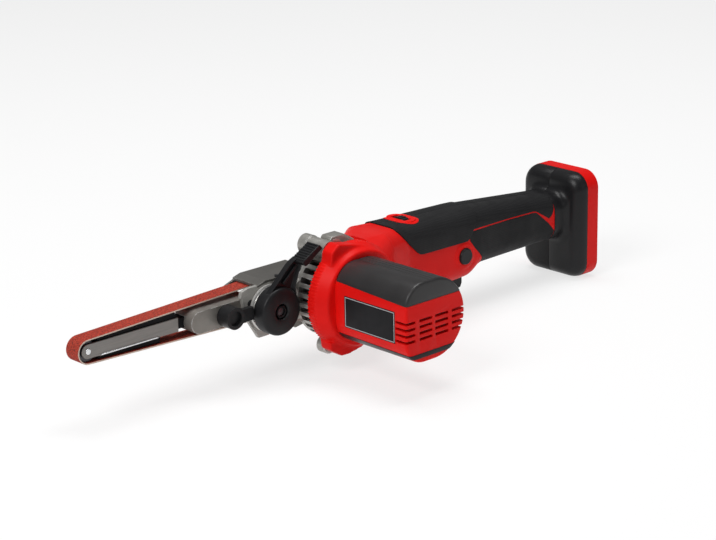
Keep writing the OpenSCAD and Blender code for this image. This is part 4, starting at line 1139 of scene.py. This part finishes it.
def dress_arm():
    silver = painted("silver_paint", (0.3, 0.29, 0.27), (0.4, 0.39, 0.365), 0.42, (0.66, 0.65, 0.62))
    gray = painted("guard_paint", (0.085, 0.081, 0.074), (0.12, 0.115, 0.106), 0.46, (0.42, 0.41, 0.385))
    block = cast_metal("block_alloy", (0.19, 0.178, 0.16), (0.28, 0.263, 0.24), 0.44, 0.55)
    plate = brushed("plate_steel", (0.2, 0.188, 0.178), (0.27, 0.255, 0.24), 0.46, (30, 900, 700), 0.6)
    bright = brushed("bright_steel", (0.6, 0.61, 0.63), (0.8, 0.81, 0.82), 0.22, (300, 300, 300))
    # Near-black finish for the arm's core: painted shade, standing in for the deep shadow between the nose
    # plates and the belt.
    painted_shade = moulded("core_painted_shade", (0.005, 0.005, 0.006), (0.01, 0.01, 0.011), 0.55, 1800, 0.00003,
                    (0.03, 0.03, 0.03), 0.12)
    dark = brushed("blackened_steel", (0.05, 0.05, 0.055), (0.11, 0.11, 0.115), 0.36, (500, 500, 500))
    rubber = moulded("ground_rubber", (0.018, 0.018, 0.018), (0.032, 0.032, 0.032), 0.75, 900, 0.00012)
    arm_side_plate(silver)
    arm_cheek(silver)
    dressed("belt_guard", gray, "arm", 0.35)
    dressed("guard_screws", dark, "arm", 0.2)
    dressed("guide_block", block, "arm", 0.7, 3)
    dressed("block_screws", dark, "arm", 0.15)
    dressed("sanding_belt", grit_belt("bonded_grit"), "arm", 0)
    # The core's near-black finish is painted shade between the plates and the belt.
    dressed("arm_core", painted_shade, "nose_bar", 0.2)
    dressed("nose_plate_near", plate, "nose_bar", 0.25)
    dressed("nose_plate_far", plate, "nose_bar", 0.25)
    # The lip takes the bright steel, far paler than the plate's own steel: a painted highlight along the
    # lit bend.
    plate_lip(bright)
    dressed("nose_axle", bright, "nose_bar", 0.3)
    dressed("nose_roller", dark, "nose_roller", 0.15)
    dressed("drive_hub", bright, "rotor", 0.3)
    dressed("drive_tyre", rubber, "rotor", 0.4)
    dressed("roller_screw", dark, "rotor", 0.2)
    coil_spring(bright)
    return dark, bright


def dress_bracket(dark, bright):
    alloy = cast_metal("blasted_casting", (0.34, 0.33, 0.305), (0.49, 0.475, 0.445), 0.42, 0.7)
    machined = cast_metal("machined_casting", (0.56, 0.55, 0.525), (0.7, 0.69, 0.665), 0.34, 0.7)
    # Near-black finish for the clamp nut: painted shade in the cap's sunk nut hole.
    nut_black = moulded("nut_painted_shade", (0.004, 0.004, 0.005), (0.008, 0.008, 0.009), 0.5, 1800, 0.00003,
                        (0.03, 0.03, 0.03), 0.15)
    vented_bracket(alloy)
    bracket_bosses(alloy, dark)
    bracket_lug(alloy)
    drum_shoulder(machined)
    clamp_seat(machined)
    dressed("bearing_retainer", bright, "housing", 0.3)
    dressed("retainer_screws", dark, "housing", 0.25)
    dressed("clamp_bolt", dark, "housing", 0.3)
    dressed("clamp_nut", nut_black, "housing", 0.3)
    dressed("shell_screws", dark, "housing", 0.15)


def dress_handle(red, black):
    brass = brushed("contact_brass", (0.62, 0.42, 0.16), (0.82, 0.62, 0.28), 0.28, (900, 300, 60))
    low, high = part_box("label_plate")
    dressed("label_plate", label_film("blank_film", low, high), "housing", 0.12)
    dressed("foot_rim", red, "housing", 0.9, 3)
    dressed("battery_seat", black, "housing", 0.35)
    dressed("terminal_block", black, "housing", 0.35)
    dressed("terminals", brass, "housing", 0.12)
    dressed("dial_bezel", red, "housing", 0.55, 3)
    dressed("speed_dial", black, "speed_dial", 0.15)
    dressed("trigger", black, "trigger", 0.9, 3)
    dressed("lock_button", black, "lock_button", 0.8, 3)
    dressed("release_lever", black, "release_lever", 0.5, 3)


def build():
    red = moulded("red_plastic", (0.64, 0.004, 0.003), (0.74, 0.007, 0.005), 0.42, 1700, 0.00003,
                  (0.8, 0.05, 0.035), 0.11)
    black = moulded("black_plastic", (0.008, 0.008, 0.009), (0.014, 0.014, 0.015), 0.4, 1400, 0.00005,
                    (0.04, 0.04, 0.04), 0.22)
    satin = moulded("satin_black", (0.008, 0.008, 0.009), (0.013, 0.013, 0.014), 0.36, 1900, 0.00002,
                    gloss=0.22)
    pad_black = moulded("pad_black", (0.022, 0.021, 0.0215), (0.033, 0.0315, 0.032), 0.36, 1900, 0.00002,
                        gloss=0.3)
    skin = soft_grip("soft_grip")
    red_shells(red)
    collar_ribs(red)
    grips(skin)
    dial_flange(red)
    foot_block(satin)
    motor_barrel(red)
    top_pad(pad_black)
    lower_strip(satin)
    clamp_handle(black)
    clamp_cap(black)
    dark, bright = dress_arm()
    dress_bracket(dark, bright)
    dress_handle(red, black)
    dress_hidden()


set_camera()
set_floor()
set_light()
build()
